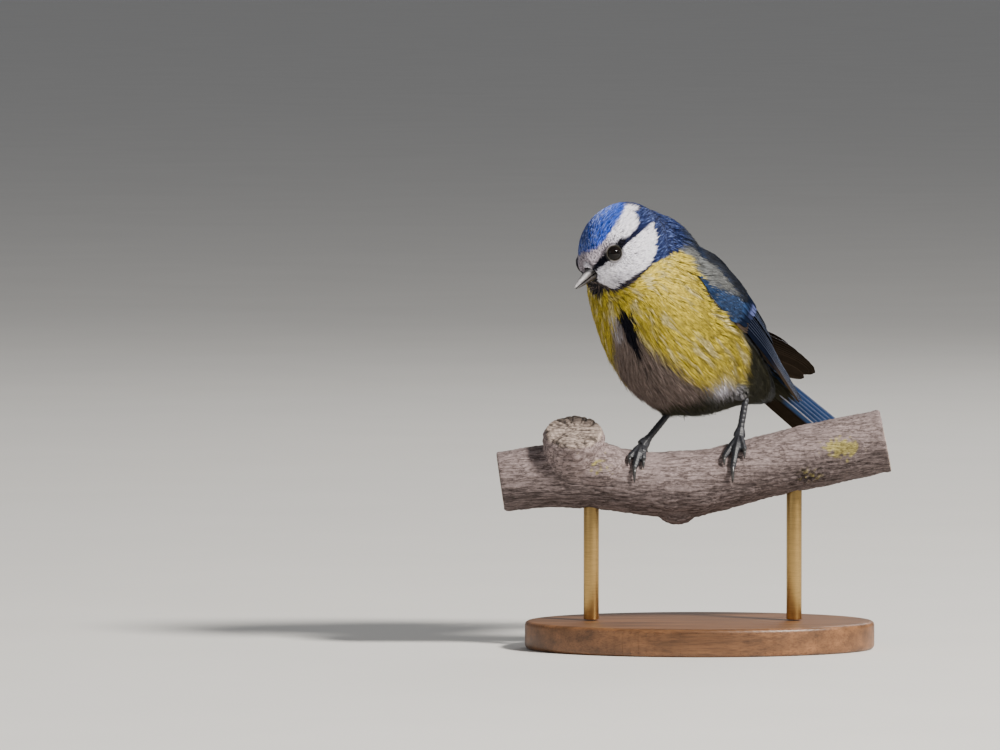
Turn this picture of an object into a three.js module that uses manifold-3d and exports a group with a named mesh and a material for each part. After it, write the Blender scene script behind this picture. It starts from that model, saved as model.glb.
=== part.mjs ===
// Blue tit gripping a cut length of branch, as a life-size museum model on a plain display stand.
// Units are millimetres and +Z is up. The origin is the centre of the stand's underside.
// The viewer stands on the -Y side: the bird's left side faces -Y, and its bill points to -X.

import * as THREE from "three";
import { mergeVertices } from "three/addons/utils/BufferGeometryUtils.js";
import Module from "manifold-3d";

const wasm = await Module();
wasm.setup();

const GAP = 0.3; // clearance between pieces that touch
const DEGREE = Math.PI / 180;
const { clamp, lerp, smoothstep } = THREE.MathUtils;

// Driving dimensions

const STAND = { halfLength: 50, halfDepth: 34, thickness: 8, bevel: 1.2 };
const ROD = { radius: 2.2, sides: 16, reach: 4.5, places: [-31, 27] };

// The branch's centre line, as x, z and radius, from its left cut end to its right one.
const BRANCH = [
  [-57, 47.6, 8.6],
  [-46, 49.2, 8.9],
  [-36, 49.4, 9.2],
  [-26, 48.7, 9.1],
  [-17, 47.3, 9.2],
  [-8.6, 46.9, 9.6],
  [-2, 47.2, 9.6],
  [6, 48.7, 9.1],
  [18, 51.9, 9.0],
  [30, 54.6, 9.2],
  [42, 57.2, 9.2],
  [53, 59.5, 9.1],
];
const KNOB = { x: -36, length: 15.6, radius: 9.0, foot: 8.4, lean: 30 * DEGREE };
const KNOB_SHOULDER = { centre: [-29.6, -2.2, 51.6], radii: [10.6, 8.6, 7.8] };
const SPUR = { centre: [-6.5, -1, 39], radii: [5.5, 4.2, 3.6] };

// Pose of the torso and the head: the turn from a left profile towards the viewer, the pitch
// above the horizon, and the roll that lifts the left side.
const TORSO_POSE = { centre: [-5.2, 3, 90.2], turn: 45, pitch: 37, roll: 8 };
const HEAD_POSE = { centre: [-23.6, -20, 114.9], turn: 38, pitch: -26, roll: 14 };

// Sizes along the torso, forward of its centre: half width, height above the axis, depth below.
const TORSO = [
  [-41, 3.4, 4.6, 1.4],
  [-36, 6.4, 7.4, 3.8],
  [-29, 10.4, 10.0, 8.4],
  [-20, 14.2, 12.6, 15.6],
  [-10, 17.4, 15.2, 21.2],
  [2, 19.2, 18.8, 22.6],
  [12, 18.6, 21.8, 20.0],
  [20, 16.8, 23.8, 15.8],
  [28, 13.8, 23.0, 11.4],
  [36, 9.8, 18.4, 6.8],
];
// How far the torso's axis bends up towards the tail, along x.
const TORSO_RISE = [
  [-41, 5.2],
  [-30, 3.4],
  [-20, 1.4],
  [-8, 0],
  [36, 0],
];
const BACK_TAPER = 0.24; // how much narrower the torso's section is at the back
const THROAT_TAPER = 0.2; // how much narrower the head's section is at the throat

// Sizes along the head, forward of its centre: half width, height above the axis, depth below.
const HEAD = [
  [-14.4, 4.6, 4.8, 4.6],
  [-12.4, 8.2, 8.2, 8.4],
  [-9, 11.0, 11.0, 11.0],
  [-4, 12.6, 12.1, 12.4],
  [1, 12.2, 11.8, 12.2],
  [5, 10.8, 10.2, 10.8],
  [8.4, 8.5, 7.5, 8.2],
  [11, 6.0, 4.9, 5.6],
  [13, 3.4, 3.0, 3.4],
];
const NECK = { radius: 13.0, cutHead: 9.8, cutTorso: 22.5 };

const EYE = { place: [7.0, 7.6, 0.9], radius: 2.35, lidRadius: 2.2, lidThickness: 0.5, lidLift: 0.9 };
// Sizes along the bill: half width, height above the gape line, depth below it.
const BILL = [
  [9.6, 2.7, 2.5, 2.2],
  [12, 2.35, 2.2, 1.75],
  [14.4, 1.8, 1.75, 1.3],
  [17, 1.1, 1.15, 0.8],
  [19, 0.45, 0.55, 0.35],
];
const BILL_DROP = { root: -1.4, tip: -2.5 };
const NOSTRIL = { place: [12.3, 2.2, 0.1], radii: [0.8, 0.5, 0.45] };

const VANE_THICKNESS = 0.52;
const TIER = 0.25; // how far each flight feather lies above the one below it

// The plate on which a folded wing's feathers lie, from wrist to wing tip, in the torso's frame.
const WING_LOWER_EDGE = [
  [18, 13.8, 6.5],
  [9, 18.6, 1.2],
  [-5, 19.2, 0.6],
  [-19, 15.6, 3.2],
  [-33, 11.3, 5.2],
  [-51, 7.0, 6.0],
];
const WING_UPPER_EDGE = [
  [19, 8.5, 15.5],
  [9, 7.0, 16.6],
  [-5, 6.2, 15.4],
  [-19, 5.6, 13.6],
  [-33, 4.6, 11.4],
  [-51, 3.6, 9.6],
];
const WING_CAMBER = [2.0, 3.0, 3.0, 2.0, 1.0, 0.3];
// How each wing swings from that rest about its shoulder: the tip's lift, and its turn inwards.
const WING_POSE = {
  left: { side: 1, lift: 0, inward: 0, slide: 0 },
  right: { side: -1, lift: 12.5, inward: 10, slide: -8 },
};
const SHOULDER = [14, 13, 6];

// Feather groups of a wing. Each runs from its lowest feather to its highest, with root and tip
// as share of the way from wrist to wing tip and from the lower to the upper edge.
const FLIGHT = [
  { count: 7, root: [[0.24, 0.05], [0.12, 0.22]], tip: [[0.9, 0.08], [0.84, 0.7]], peak: 0.1, half: 2.5 },
  { count: 4, root: [[0.18, 0.3], [0.28, 0.62]], tip: [[0.68, 0.56], [0.66, 0.86]], peak: 0, half: 3.0 },
  { count: 3, root: [[0.26, 0.66], [0.28, 0.84]], tip: [[0.62, 0.84], [0.47, 0.92]], peak: 0, half: 3.3 },
];
const COVERTS = [
  { count: 3, root: [[0.14, 0.04], [0.12, 0.14]], tip: [[0.38, 0.03], [0.34, 0.18]], rise: 1.0, half: 1.8 },
  { count: 6, root: [[0.2, 0.2], [0.24, 0.86]], tip: [[0.4, 0.22], [0.43, 0.9]], rise: 1.2, half: 2.1 },
  { count: 5, root: [[0.1, 0.18], [0.12, 0.82]], tip: [[0.27, 0.24], [0.3, 0.84]], rise: 1.7, half: 2.3 },
];
const ALULA = { count: 2, root: [[0.06, 0.04], [0.05, 0.1]], tip: [[0.22, 0.02], [0.18, 0.12]], rise: 1.6, half: 1.4 };
const STACK_RISE = 3.3; // height of the stacked feathers at the plate's upper edge

const TAIL = {
  root: [-27.5, -0.5, 10.2],
  length: 50,
  lift: 3,
  swing: 4,
  roll: -10,
  feathers: 6, // on each side
  half: 2.7,
  spread: 2.6,
  tipSpread: 3.6,
  tier: 0.21,
  fold: 0.8,
  fork: 2.4,
};

// Places of the foot, heel and hip, and each toe's run over the bark as distance along the branch
// and angle over its front from the top. Toes run inner, middle, outer and then the hind one.
const LEGS = {
  left: {
    hip: [-8, 8, -6],
    heel: [13.2, 0.4, 71.8],
    foot: { x: 11.2, angle: 10, lift: 1.9 },
    toes: [
      { x: 6.8, angle: 50, claw: 64 },
      { x: 9.2, angle: 74, claw: 99 },
      { x: 12.6, angle: 46, claw: 62 },
      { x: 11.6, angle: -38, claw: -66 },
    ],
  },
  right: {
    hip: [-6, -8, -8],
    heel: [-9.0, 3.0, 66.9],
    foot: { x: -16.4, angle: 8, lift: 1.9 },
    toes: [
      { x: -16.2, angle: 44, claw: 60 },
      { x: -18.8, angle: 62, claw: 86 },
      { x: -20.2, angle: 42, claw: 56 },
      { x: -15.4, angle: -40, claw: -68 },
    ],
  },
};
const TOE_NAMES = ["inner", "middle", "outer", "hind"];
const THIGH = { top: 5.4, heel: 2.2 };
const SHANK = { radius: 0.8, foot: 1.7, scutes: 9, scuteRise: 0.1 };
const TOE = { root: 1.05, tip: 0.72, joints: 3, jointRise: 0.14, arch: 0.45 };
const CLAW = { root: 0.6, tip: 0.12, arch: 1.0 };

// Solids

function solid(geometry) {
  const bare = geometry.clone();
  bare.deleteAttribute("normal");
  bare.deleteAttribute("uv");
  const merged = mergeVertices(bare, 1e-3);
  const vertProperties = new Float32Array(merged.attributes.position.array);
  const triVerts = new Uint32Array(merged.index.array);
  const made = new wasm.Manifold(new wasm.Mesh({ numProp: 3, vertProperties, triVerts }));
  if (made.volume() > 0) return made;
  const turned = triVerts.map((_, i, all) => all[i - (i % 3) + [0, 2, 1][i % 3]]);
  return new wasm.Manifold(new wasm.Mesh({ numProp: 3, vertProperties, triVerts: turned }));
}

function largest(body) {
  return body.decompose().reduce((a, b) => (b.volume() > a.volume() ? b : a));
}

function fuse(geometries) {
  return wasm.Manifold.union(geometries.map(solid));
}

function geometryOf(body) {
  const { numProp, numVert, vertProperties, triVerts } = body.getMesh();
  const positions = new Float32Array(numVert * 3);
  for (let i = 0; i < numVert; i++) {
    positions.set(vertProperties.subarray(i * numProp, i * numProp + 3), i * 3);
  }
  return new THREE.BufferGeometry()
    .setAttribute("position", new THREE.BufferAttribute(positions, 3))
    .setIndex(new THREE.BufferAttribute(triVerts, 1));
}

const vector = (p) => new THREE.Vector3(...p);

// Moves every vertex of a geometry to where place(vertex, uv) puts it.
function reshape(geometry, place) {
  const { position, uv } = geometry.attributes;
  const from = new THREE.Vector3();
  for (let i = 0; i < position.count; i++) {
    from.fromBufferAttribute(position, i);
    const p = place(from, uv.getX(i), uv.getY(i));
    position.setXYZ(i, p.x, p.y, p.z);
  }
  return geometry;
}

// Named sizes along x, joined by smooth curves.
function sizesAlong(stations) {
  const places = stations.map((s) => s[0]);
  const sizes = stations.flatMap((s) => s.slice(1));
  const curve = new THREE.CubicInterpolant(places, sizes, stations[0].length - 1);
  const [first, last] = [places[0], places.at(-1)];
  return (x) => Array.from(curve.evaluate(clamp(x, first, last)));
}

// A closed body of oval sections along x, each with its own half width, height and depth. The
// section can be narrower at its top and at its bottom, and its middle can rise or fall along x.
function ovalBody(stations, around, rings, { top = 0, bottom = 0, grow = 0, rise = () => 0 } = {}) {
  const sizesAt = sizesAlong(stations);
  const middle = (stations[0][0] + stations.at(-1)[0]) / 2;
  const half = (stations.at(-1)[0] - stations[0][0]) / 2 + grow;
  return reshape(new THREE.SphereGeometry(1, around, rings), (from, turn, up) => {
    const x = middle + half * Math.cos(up * Math.PI);
    const [width, height, depth] = sizesAt(x);
    if (up < 1e-6 || up > 1 - 1e-6) return new THREE.Vector3(x, 0, rise(x));
    const angle = turn * 2 * Math.PI;
    const high = Math.sin(angle);
    const tall = (high > 0 ? height : depth) + grow;
    const wide = (width + grow) * (1 - top * Math.max(0, high) - bottom * Math.max(0, -high));
    return new THREE.Vector3(x, wide * Math.cos(angle), tall * high + rise(x));
  });
}

// A round bar along a curve, with its radius given by a function of the share of the way.
function bar(curve, radiusAt, sides, steps) {
  const { normals, binormals } = curve.computeFrenetFrames(steps, false);
  return reshape(new THREE.CylinderGeometry(1, 1, 1, sides, steps), (from) => {
    const step = Math.round((from.y + 0.5) * steps);
    const radius = radiusAt(step / steps);
    return curve
      .getPointAt(step / steps)
      .addScaledVector(normals[step], from.x * radius)
      .addScaledVector(binormals[step], from.z * radius);
  });
}

const curveThrough = (points) => new THREE.CatmullRomCurve3(points.map(vector));

// A frame of axes: x forward, y to the bird's left and z up its back.
function poseMatrix({ centre, turn, pitch, roll }) {
  const level = Math.cos(pitch * DEGREE);
  const forward = new THREE.Vector3(
    -level * Math.cos(turn * DEGREE),
    -level * Math.sin(turn * DEGREE),
    Math.sin(pitch * DEGREE),
  );
  const left = new THREE.Vector3(Math.sin(turn * DEGREE), -Math.cos(turn * DEGREE), 0);
  left.applyAxisAngle(forward, roll * DEGREE);
  const back = new THREE.Vector3().crossVectors(forward, left);
  return new THREE.Matrix4().makeBasis(forward, left, back).setPosition(...centre);
}

const torsoMatrix = poseMatrix(TORSO_POSE);
const headMatrix = poseMatrix(HEAD_POSE);
const place = (geometry, matrix) => geometry.applyMatrix4(matrix);

// Branch and stand

const branchSizes = sizesAlong(BRANCH);

// A point over the bark: distance along the branch, angle over its front and height above it.
function overBark(x, angle, lift) {
  const [height, radius] = branchSizes(x);
  const reach = radius + lift;
  const turn = angle * DEGREE;
  return new THREE.Vector3(x, -reach * Math.sin(turn), height + reach * Math.cos(turn));
}

function branchSolid(grow) {
  const line = curveThrough(BRANCH.map(([x, z]) => [x, 0, z]));
  const trunk = bar(line, (t) => branchSizes(line.getPointAt(t).x)[1] + grow, 22, 16);
  const [height] = branchSizes(KNOB.x);
  const up = new THREE.Vector3(0, -Math.sin(KNOB.lean), Math.cos(KNOB.lean));
  const root = new THREE.Vector3(KNOB.x, 0, height);
  const crown = root.clone().addScaledVector(up, KNOB.length + grow);
  const stub = bar(
    new THREE.LineCurve3(root, crown),
    (t) => lerp(KNOB.foot, KNOB.radius, t) * (t > 0.95 ? 0.9 : 1) + grow,
    18,
    6,
  );
  const lumps = [KNOB_SHOULDER, SPUR].map(({ centre, radii }) => {
    const [sx, sy, sz] = radii.map((r) => r + grow);
    return new THREE.SphereGeometry(1, 14, 10).scale(sx, sy, sz).translate(...centre);
  });
  return fuse([trunk, stub, ...lumps]);
}

function rodSolid(x, grow) {
  const [height, radius] = branchSizes(x);
  const bottom = STAND.thickness + GAP - grow;
  const top = height - radius + ROD.reach + grow;
  const rod = new THREE.CylinderGeometry(ROD.radius + grow, ROD.radius + grow, top - bottom, ROD.sides);
  return solid(rod.rotateX(Math.PI / 2).translate(x, 0, (top + bottom) / 2));
}

function standBase() {
  const outline = new THREE.Shape();
  const { halfLength, halfDepth, thickness, bevel } = STAND;
  outline.absellipse(0, 0, halfLength - bevel, halfDepth - bevel, 0, 2 * Math.PI, false, 0);
  return new THREE.ExtrudeGeometry(outline, {
    depth: thickness - 2 * bevel,
    bevelThickness: bevel,
    bevelSize: bevel,
    bevelSegments: 1,
    curveSegments: 18,
  }).translate(0, 0, bevel);
}

// Torso, neck and head, modelled whole and parted with thin cuts

const torsoSizes = sizesAlong(TORSO);
const torsoRise = (x) => sizesAlong(TORSO_RISE)(x)[0];

function flesh(grow) {
  const torso = place(ovalBody(TORSO, 32, 22, { top: BACK_TAPER, grow, rise: torsoRise }), torsoMatrix);
  const head = place(ovalBody(HEAD, 24, 14, { bottom: THROAT_TAPER, grow }), headMatrix);
  const collar = new THREE.Vector3(16, 0, 4.6).applyMatrix4(torsoMatrix);
  const bend = new THREE.Vector3(33, 0.5, 11.4).applyMatrix4(torsoMatrix);
  const nape = new THREE.Vector3(-2.2, 0, 0.3).applyMatrix4(headMatrix);
  const neckLine = new THREE.QuadraticBezierCurve3(collar, bend, nape);
  const neck = bar(neckLine, (t) => lerp(NECK.radius + 0.8, NECK.radius - 2.6, t) + grow, 24, 7);
  return fuse([torso, neck, head]);
}

// Keeps what lies beyond a plane, given by a point and the direction to keep.
function beyond(body, point, direction, offset) {
  const normal = direction.clone().normalize();
  return body.trimByPlane(normal.toArray(), normal.dot(point) + offset);
}

const torsoForward = new THREE.Vector3(1, 0, 0).transformDirection(torsoMatrix);
const headForward = new THREE.Vector3(1, 0, 0).transformDirection(headMatrix);
const headCutAxis = torsoForward.clone().addScaledVector(headForward, 0.35).normalize();
const headCut = vector(HEAD_POSE.centre).addScaledVector(headCutAxis, -NECK.cutHead);
const torsoCut = new THREE.Vector3(NECK.cutTorso, 0, 0).applyMatrix4(torsoMatrix);

function partFlesh(whole) {
  const back = torsoForward.clone().negate();
  const towardsTorso = headCutAxis.clone().negate();
  const head = beyond(whole, headCut, headCutAxis, GAP / 2);
  const body = beyond(whole, headCut, towardsTorso, GAP / 2);
  return {
    head: largest(head),
    neck: largest(beyond(body, torsoCut, torsoForward, GAP / 2)),
    torso: largest(beyond(body, torsoCut, back, GAP / 2)),
  };
}

// Eyes, lids and bill

function eyeBall(side, grow) {
  const [x, y, z] = EYE.place;
  const ball = new THREE.SphereGeometry(EYE.radius + grow, 14, 10).translate(x, y * side, z);
  return solid(place(ball, headMatrix));
}

// A raised ring of eyelid, facing out along the eye's own direction.
function eyeLids(side) {
  const [x, y, z] = EYE.place;
  const ring = new THREE.TorusGeometry(EYE.lidRadius, EYE.lidThickness, 5, 16);
  ring.scale(1.08, 0.92, 1);
  const outward = new THREE.Vector3(0.36, side, 0.06).normalize();
  const turn = new THREE.Quaternion().setFromUnitVectors(new THREE.Vector3(0, 0, 1), outward);
  ring.applyQuaternion(turn).translate(x, y * side, z);
  ring.translate(...outward.multiplyScalar(EYE.lidLift));
  return solid(place(ring, headMatrix));
}

const gapeLine = (x) => lerp(BILL_DROP.root, BILL_DROP.tip, (x - BILL[0][0]) / (BILL.at(-1)[0] - BILL[0][0]));

function billSolid(grow) {
  return solid(place(ovalBody(BILL, 14, 10, { grow, rise: gapeLine }), headMatrix));
}

function billHalf(isUpper) {
  const root = new THREE.Vector3(BILL[0][0], 0, BILL_DROP.root).applyMatrix4(headMatrix);
  const run = BILL.at(-1)[0] - BILL[0][0];
  const slope = new THREE.Vector3(BILL_DROP.root - BILL_DROP.tip, 0, run);
  const normal = slope.transformDirection(headMatrix).multiplyScalar(isUpper ? 1 : -1);
  const half = beyond(billSolid(0), root, normal, GAP / 2);
  if (!isUpper) return largest(half);
  const pits = [1, -1].map((side) => {
    const [x, y, z] = NOSTRIL.place;
    const pit = new THREE.SphereGeometry(1, 7, 5).scale(...NOSTRIL.radii);
    return solid(place(pit.translate(x, y * side, z), headMatrix));
  });
  return largest(half.subtract(wasm.Manifold.union(pits)));
}

// Feathers

// A feather's vane: a thin plate along a path. pathAt(t) gives its centre, forward and outward
// directions, and outline(t) its half width there.
function vane(pathAt, outline, steps, thickness = VANE_THICKNESS) {
  const plate = new THREE.BoxGeometry(1, 1, 1, steps, 2, 1);
  return reshape(plate, (from) => {
    const t = from.x + 0.5;
    const { centre, forward, outward } = pathAt(t);
    const across = new THREE.Vector3().crossVectors(outward, forward).normalize();
    const edge = 2 * from.y;
    const half = outline(t);
    const droop = (edge * half) ** 2 / 40;
    const thin = thickness * (1 - 0.25 * Math.abs(edge));
    return centre
      .clone()
      .addScaledVector(across, edge * half)
      .addScaledVector(outward, from.z * thin - droop);
  });
}

const featherOutline = (half) => (t) => half * (t > 0.98 ? 0.4 : lerp(0.62, 1, smoothstep(t, 0, 0.4)));

const wingLower = curveThrough(WING_LOWER_EDGE);
const wingUpper = curveThrough(WING_UPPER_EDGE);
const camberAt = sizesAlong(WING_CAMBER.map((c, i) => [i / (WING_CAMBER.length - 1), c]));

// A point on the left wing's plate: along from wrist to tip, and up from lower to upper edge.
function wingPlate(along, up) {
  const low = wingLower.getPoint(clamp(along, 0, 1));
  const high = wingUpper.getPoint(clamp(along, 0, 1));
  const point = low.clone().lerp(high, up);
  const outward = new THREE.Vector3(0, high.z - low.z, low.y - high.y).normalize();
  point.addScaledVector(outward, camberAt(along)[0] * 4 * up * (1 - up));
  const [width, height, depth] = torsoSizes(point.x);
  const above = point.z - torsoRise(point.x);
  const level = clamp(above / (above > 0 ? height : depth), -1, 1);
  const bodySide = (width + GAP) * Math.sqrt(1 - level ** 2) * (1 - BACK_TAPER * Math.max(0, level));
  if (point.x > TORSO[0][0] && point.y < bodySide) point.y = bodySide;
  return point;
}

function wingOutward(along, up) {
  const e = 0.02;
  const back = wingPlate(along + e, up).sub(wingPlate(Math.max(0, along - e), up));
  const rise = wingPlate(along, Math.min(1, up + e)).sub(wingPlate(along, Math.max(0, up - e)));
  return back.cross(rise).normalize();
}

// A point above the plate; the stack of feathers thins out towards the wrist.
function overWing(along, up, lift) {
  const share = lerp(0.3, 1, smoothstep(along, 0, 0.34));
  return wingPlate(along, up).addScaledVector(wingOutward(along, up), lift > 0 ? lift * share : lift);
}

function wingFeather(root, tip, lift, half, steps) {
  const at = (t) => overWing(lerp(root[0], tip[0], t), lerp(root[1], tip[1], t), lift);
  const path = (t) => ({
    centre: at(t),
    forward: at(Math.min(1, t + 0.03)).sub(at(Math.max(0, t - 0.03))).normalize(),
    outward: wingOutward(lerp(root[0], tip[0], t), lerp(root[1], tip[1], t)),
  });
  return vane(path, featherOutline(half), steps);
}

const between = ([a, b], share) => [lerp(a[0], b[0], share), lerp(a[1], b[1], share)];

// The arm and hand under the small coverts, which holds the root of every feather.
function wingArm() {
  return reshape(new THREE.SphereGeometry(1, 16, 8), (from) => {
    const along = 0.18 + 0.2 * from.x;
    const up = clamp(0.5 + 0.5 * from.y, 0, 1);
    const top = 1.9 + STACK_RISE * up;
    return overWing(Math.max(0, along), up, lerp(-1, top, (from.z + 1) / 2));
  });
}

function wing({ side, lift, inward, slide }) {
  const pieces = [wingArm()];
  let tier = 0;
  for (const { count, root, tip, peak, half } of FLIGHT) {
    for (let i = 0; i < count; i++) {
      const share = i / (count - 1);
      const end = between(tip, share);
      end[0] += peak * Math.sin(Math.PI * share) ** 0.8;
      pieces.push(wingFeather(between(root, share), end, 0.8 + TIER * tier, half, 3));
      tier += 1;
    }
  }
  for (const { count, root, tip, rise, half } of [...COVERTS, ALULA]) {
    for (let i = 0; i < count; i++) {
      const [start, end] = [between(root, i / (count - 1)), between(tip, i / (count - 1))];
      pieces.push(wingFeather(start, end, rise + STACK_RISE * end[1], half, 2));
    }
  }
  const swing = new THREE.Matrix4()
    .makeTranslation(SHOULDER[0] + slide, SHOULDER[1], SHOULDER[2])
    .multiply(new THREE.Matrix4().makeRotationY(lift * DEGREE))
    .multiply(new THREE.Matrix4().makeRotationZ(inward * DEGREE))
    .multiply(new THREE.Matrix4().makeTranslation(...SHOULDER.map((v) => -v)));
  const mirror = new THREE.Matrix4().makeScale(1, side, 1);
  const matrix = torsoMatrix.clone().multiply(mirror).multiply(swing);
  return fuse(pieces.map((piece) => place(piece, matrix)));
}

function tail() {
  const matrix = torsoMatrix
    .clone()
    .multiply(new THREE.Matrix4().makeTranslation(...TAIL.root))
    .multiply(new THREE.Matrix4().makeRotationZ(-TAIL.swing * DEGREE))
    .multiply(new THREE.Matrix4().makeRotationY((180 + TAIL.lift) * DEGREE))
    .multiply(new THREE.Matrix4().makeRotationX(TAIL.roll * DEGREE));
  const rump = new THREE.SphereGeometry(1, 16, 10).scale(9, 4.4, 2.3).translate(5, 0, 1.2);
  const pieces = [rump];
  for (let i = 0; i < 2 * TAIL.feathers; i++) {
    const rank = Math.floor(i / 2);
    const side = i % 2 ? 1 : -1;
    const share = rank / (TAIL.feathers - 1);
    const out = side * lerp(0.5, TAIL.spread, share);
    const outAtTip = side * lerp(1.2, TAIL.tipSpread, share);
    const length = TAIL.length - TAIL.fork * (1 - share);
    const path = (t) => ({
      centre: new THREE.Vector3(
        lerp(2, length, t),
        lerp(out, outAtTip, t),
        TAIL.tier * i + TAIL.fold * share,
      ),
      forward: new THREE.Vector3(length, outAtTip - out, 0).normalize(),
      outward: new THREE.Vector3(0, 0, 1),
    });
    pieces.push(vane(path, featherOutline(TAIL.half), 3));
  }
  return fuse(pieces.map((piece) => place(piece, matrix)));
}

// Legs and feet

const footCentre = ({ foot }) => overBark(foot.x, foot.angle, foot.lift);

function thigh(leg, grow) {
  const hip = vector(leg.hip).applyMatrix4(torsoMatrix);
  const heel = vector(leg.heel);
  const drop = heel.clone().sub(hip).normalize();
  const line = new THREE.LineCurve3(hip, heel.addScaledVector(drop, grow));
  return solid(bar(line, (t) => lerp(THIGH.top, THIGH.heel, t ** 0.7) + grow, 12, 5));
}

function shank(leg, grow) {
  const foot = footCentre(leg);
  const heel = vector(leg.heel);
  const knuckle = foot.clone().lerp(heel, 0.16);
  const line = curveThrough([heel.toArray(), knuckle.toArray(), foot.toArray()]);
  const radiusAt = (t) => {
    const scute = SHANK.scuteRise * Math.abs(Math.sin(Math.PI * SHANK.scutes * t));
    return lerp(SHANK.radius, SHANK.foot, smoothstep(t, 0.72, 0.97)) + scute + grow;
  };
  return solid(bar(line, radiusAt, 8, 10));
}

function toeLine(leg, toe) {
  const { foot } = leg;
  const over = (share, lift) =>
    overBark(lerp(foot.x, toe.x, share), lerp(foot.angle, toe.angle, share), lift).toArray();
  const rest = TOE.tip + 0.1;
  return curveThrough([
    over(0, foot.lift - 0.4),
    over(0.35, rest + TOE.arch + 0.25),
    over(0.7, rest + 0.1),
    over(1, rest - 0.1),
  ]);
}

function toeSolid(leg, toe, grow) {
  const radiusAt = (t) => {
    const joint = TOE.jointRise * Math.abs(Math.sin(Math.PI * TOE.joints * t));
    return lerp(TOE.root, TOE.tip, t) + joint + grow;
  };
  return solid(bar(toeLine(leg, toe), radiusAt, 6, 6));
}

function clawSolid(leg, toe) {
  const past = (share, lift) => overBark(toe.x, lerp(toe.angle, toe.claw, share), lift).toArray();
  const line = curveThrough([past(-0.1, TOE.tip), past(0.35, CLAW.arch + 0.25), past(0.75, CLAW.arch - 0.1), past(1, 0.42)]);
  return solid(bar(line, (t) => lerp(CLAW.root, CLAW.tip, t), 5, 4));
}

// Assembly

const FINISHES = {
  skin: { color: 0xcdb84a, roughness: 0.9 },
  cap: { color: 0xe6e6f0, roughness: 0.9 },
  collar: { color: 0x27386b, roughness: 0.9 },
  wing: { color: 0x35557f, roughness: 0.8 },
  tail: { color: 0x3f6fa5, roughness: 0.8 },
  bill: { color: 0x4a4a50, roughness: 0.35 },
  eye: { color: 0x14100d, roughness: 0.08 },
  leg: { color: 0x4b5568, roughness: 0.5 },
  claw: { color: 0x2c2c31, roughness: 0.4 },
  bark: { color: 0x7d7068, roughness: 0.95 },
  stand: { color: 0x8a6a48, roughness: 0.5 },
  rod: { color: 0xb08d4f, roughness: 0.3, metalness: 1 },
};
const bird = new THREE.Group();

function add(name, finish, body) {
  const geometry = body.isBufferGeometry ? body : geometryOf(body);
  const mesh = new THREE.Mesh(geometry, new THREE.MeshStandardMaterial(FINISHES[finish]));
  mesh.name = name;
  bird.add(mesh);
}

const sides = [
  ["left", 1],
  ["right", -1],
];

const grownFlesh = flesh(GAP);
const { head, neck, torso } = partFlesh(flesh(0));
const lids = wasm.Manifold.union(sides.map(([, side]) => eyeLids(side)));
const sockets = wasm.Manifold.union(sides.map(([, side]) => eyeBall(side, GAP)));
add("head", "cap", largest(head.add(lids).subtract(sockets).subtract(billSolid(GAP))));
add("neck", "collar", neck);
add("torso", "skin", torso);
add("bill_upper", "bill", billHalf(true));
add("bill_lower", "bill", billHalf(false));
for (const [name, side] of sides) {
  add(`eye_${name}`, "eye", eyeBall(side, 0));
  add(`wing_${name}`, "wing", largest(wing(WING_POSE[name]).subtract(grownFlesh)));
}
add("tail", "tail", largest(tail().subtract(grownFlesh)));

const grownBranch = branchSolid(GAP);
for (const [name] of sides) {
  const leg = LEGS[name];
  add(`thigh_${name}`, "skin", largest(thigh(leg, 0).subtract(grownFlesh)));
  const clearOfShank = grownBranch.add(thigh(leg, GAP)).add(grownFlesh);
  add(`shank_${name}`, "leg", largest(shank(leg, 0).subtract(clearOfShank)));
  let taken = grownBranch.add(shank(leg, GAP));
  leg.toes.forEach((toe, i) => {
    add(`toe_${name}_${TOE_NAMES[i]}`, "leg", largest(toeSolid(leg, toe, 0).subtract(taken)));
    const clearOfClaw = grownBranch.add(toeSolid(leg, toe, GAP));
    add(`claw_${name}_${TOE_NAMES[i]}`, "claw", largest(clawSolid(leg, toe).subtract(clearOfClaw)));
    taken = taken.add(toeSolid(leg, toe, GAP));
  });
}

const rodHoles = wasm.Manifold.union(ROD.places.map((x) => rodSolid(x, GAP)));
add("perch_branch", "bark", branchSolid(0).subtract(rodHoles));
ROD.places.forEach((x, i) => add(`stand_rod_${i + 1}`, "rod", rodSolid(x, 0)));
add("stand_base", "stand", standBase());

export default bird;
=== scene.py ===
import itertools
import math

import bmesh
import bpy
import numpy as np
from bpy.props import FloatProperty, FloatVectorProperty, IntProperty, PointerProperty
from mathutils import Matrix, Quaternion, Vector, noise
from mathutils.bvhtree import BVHTree


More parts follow.
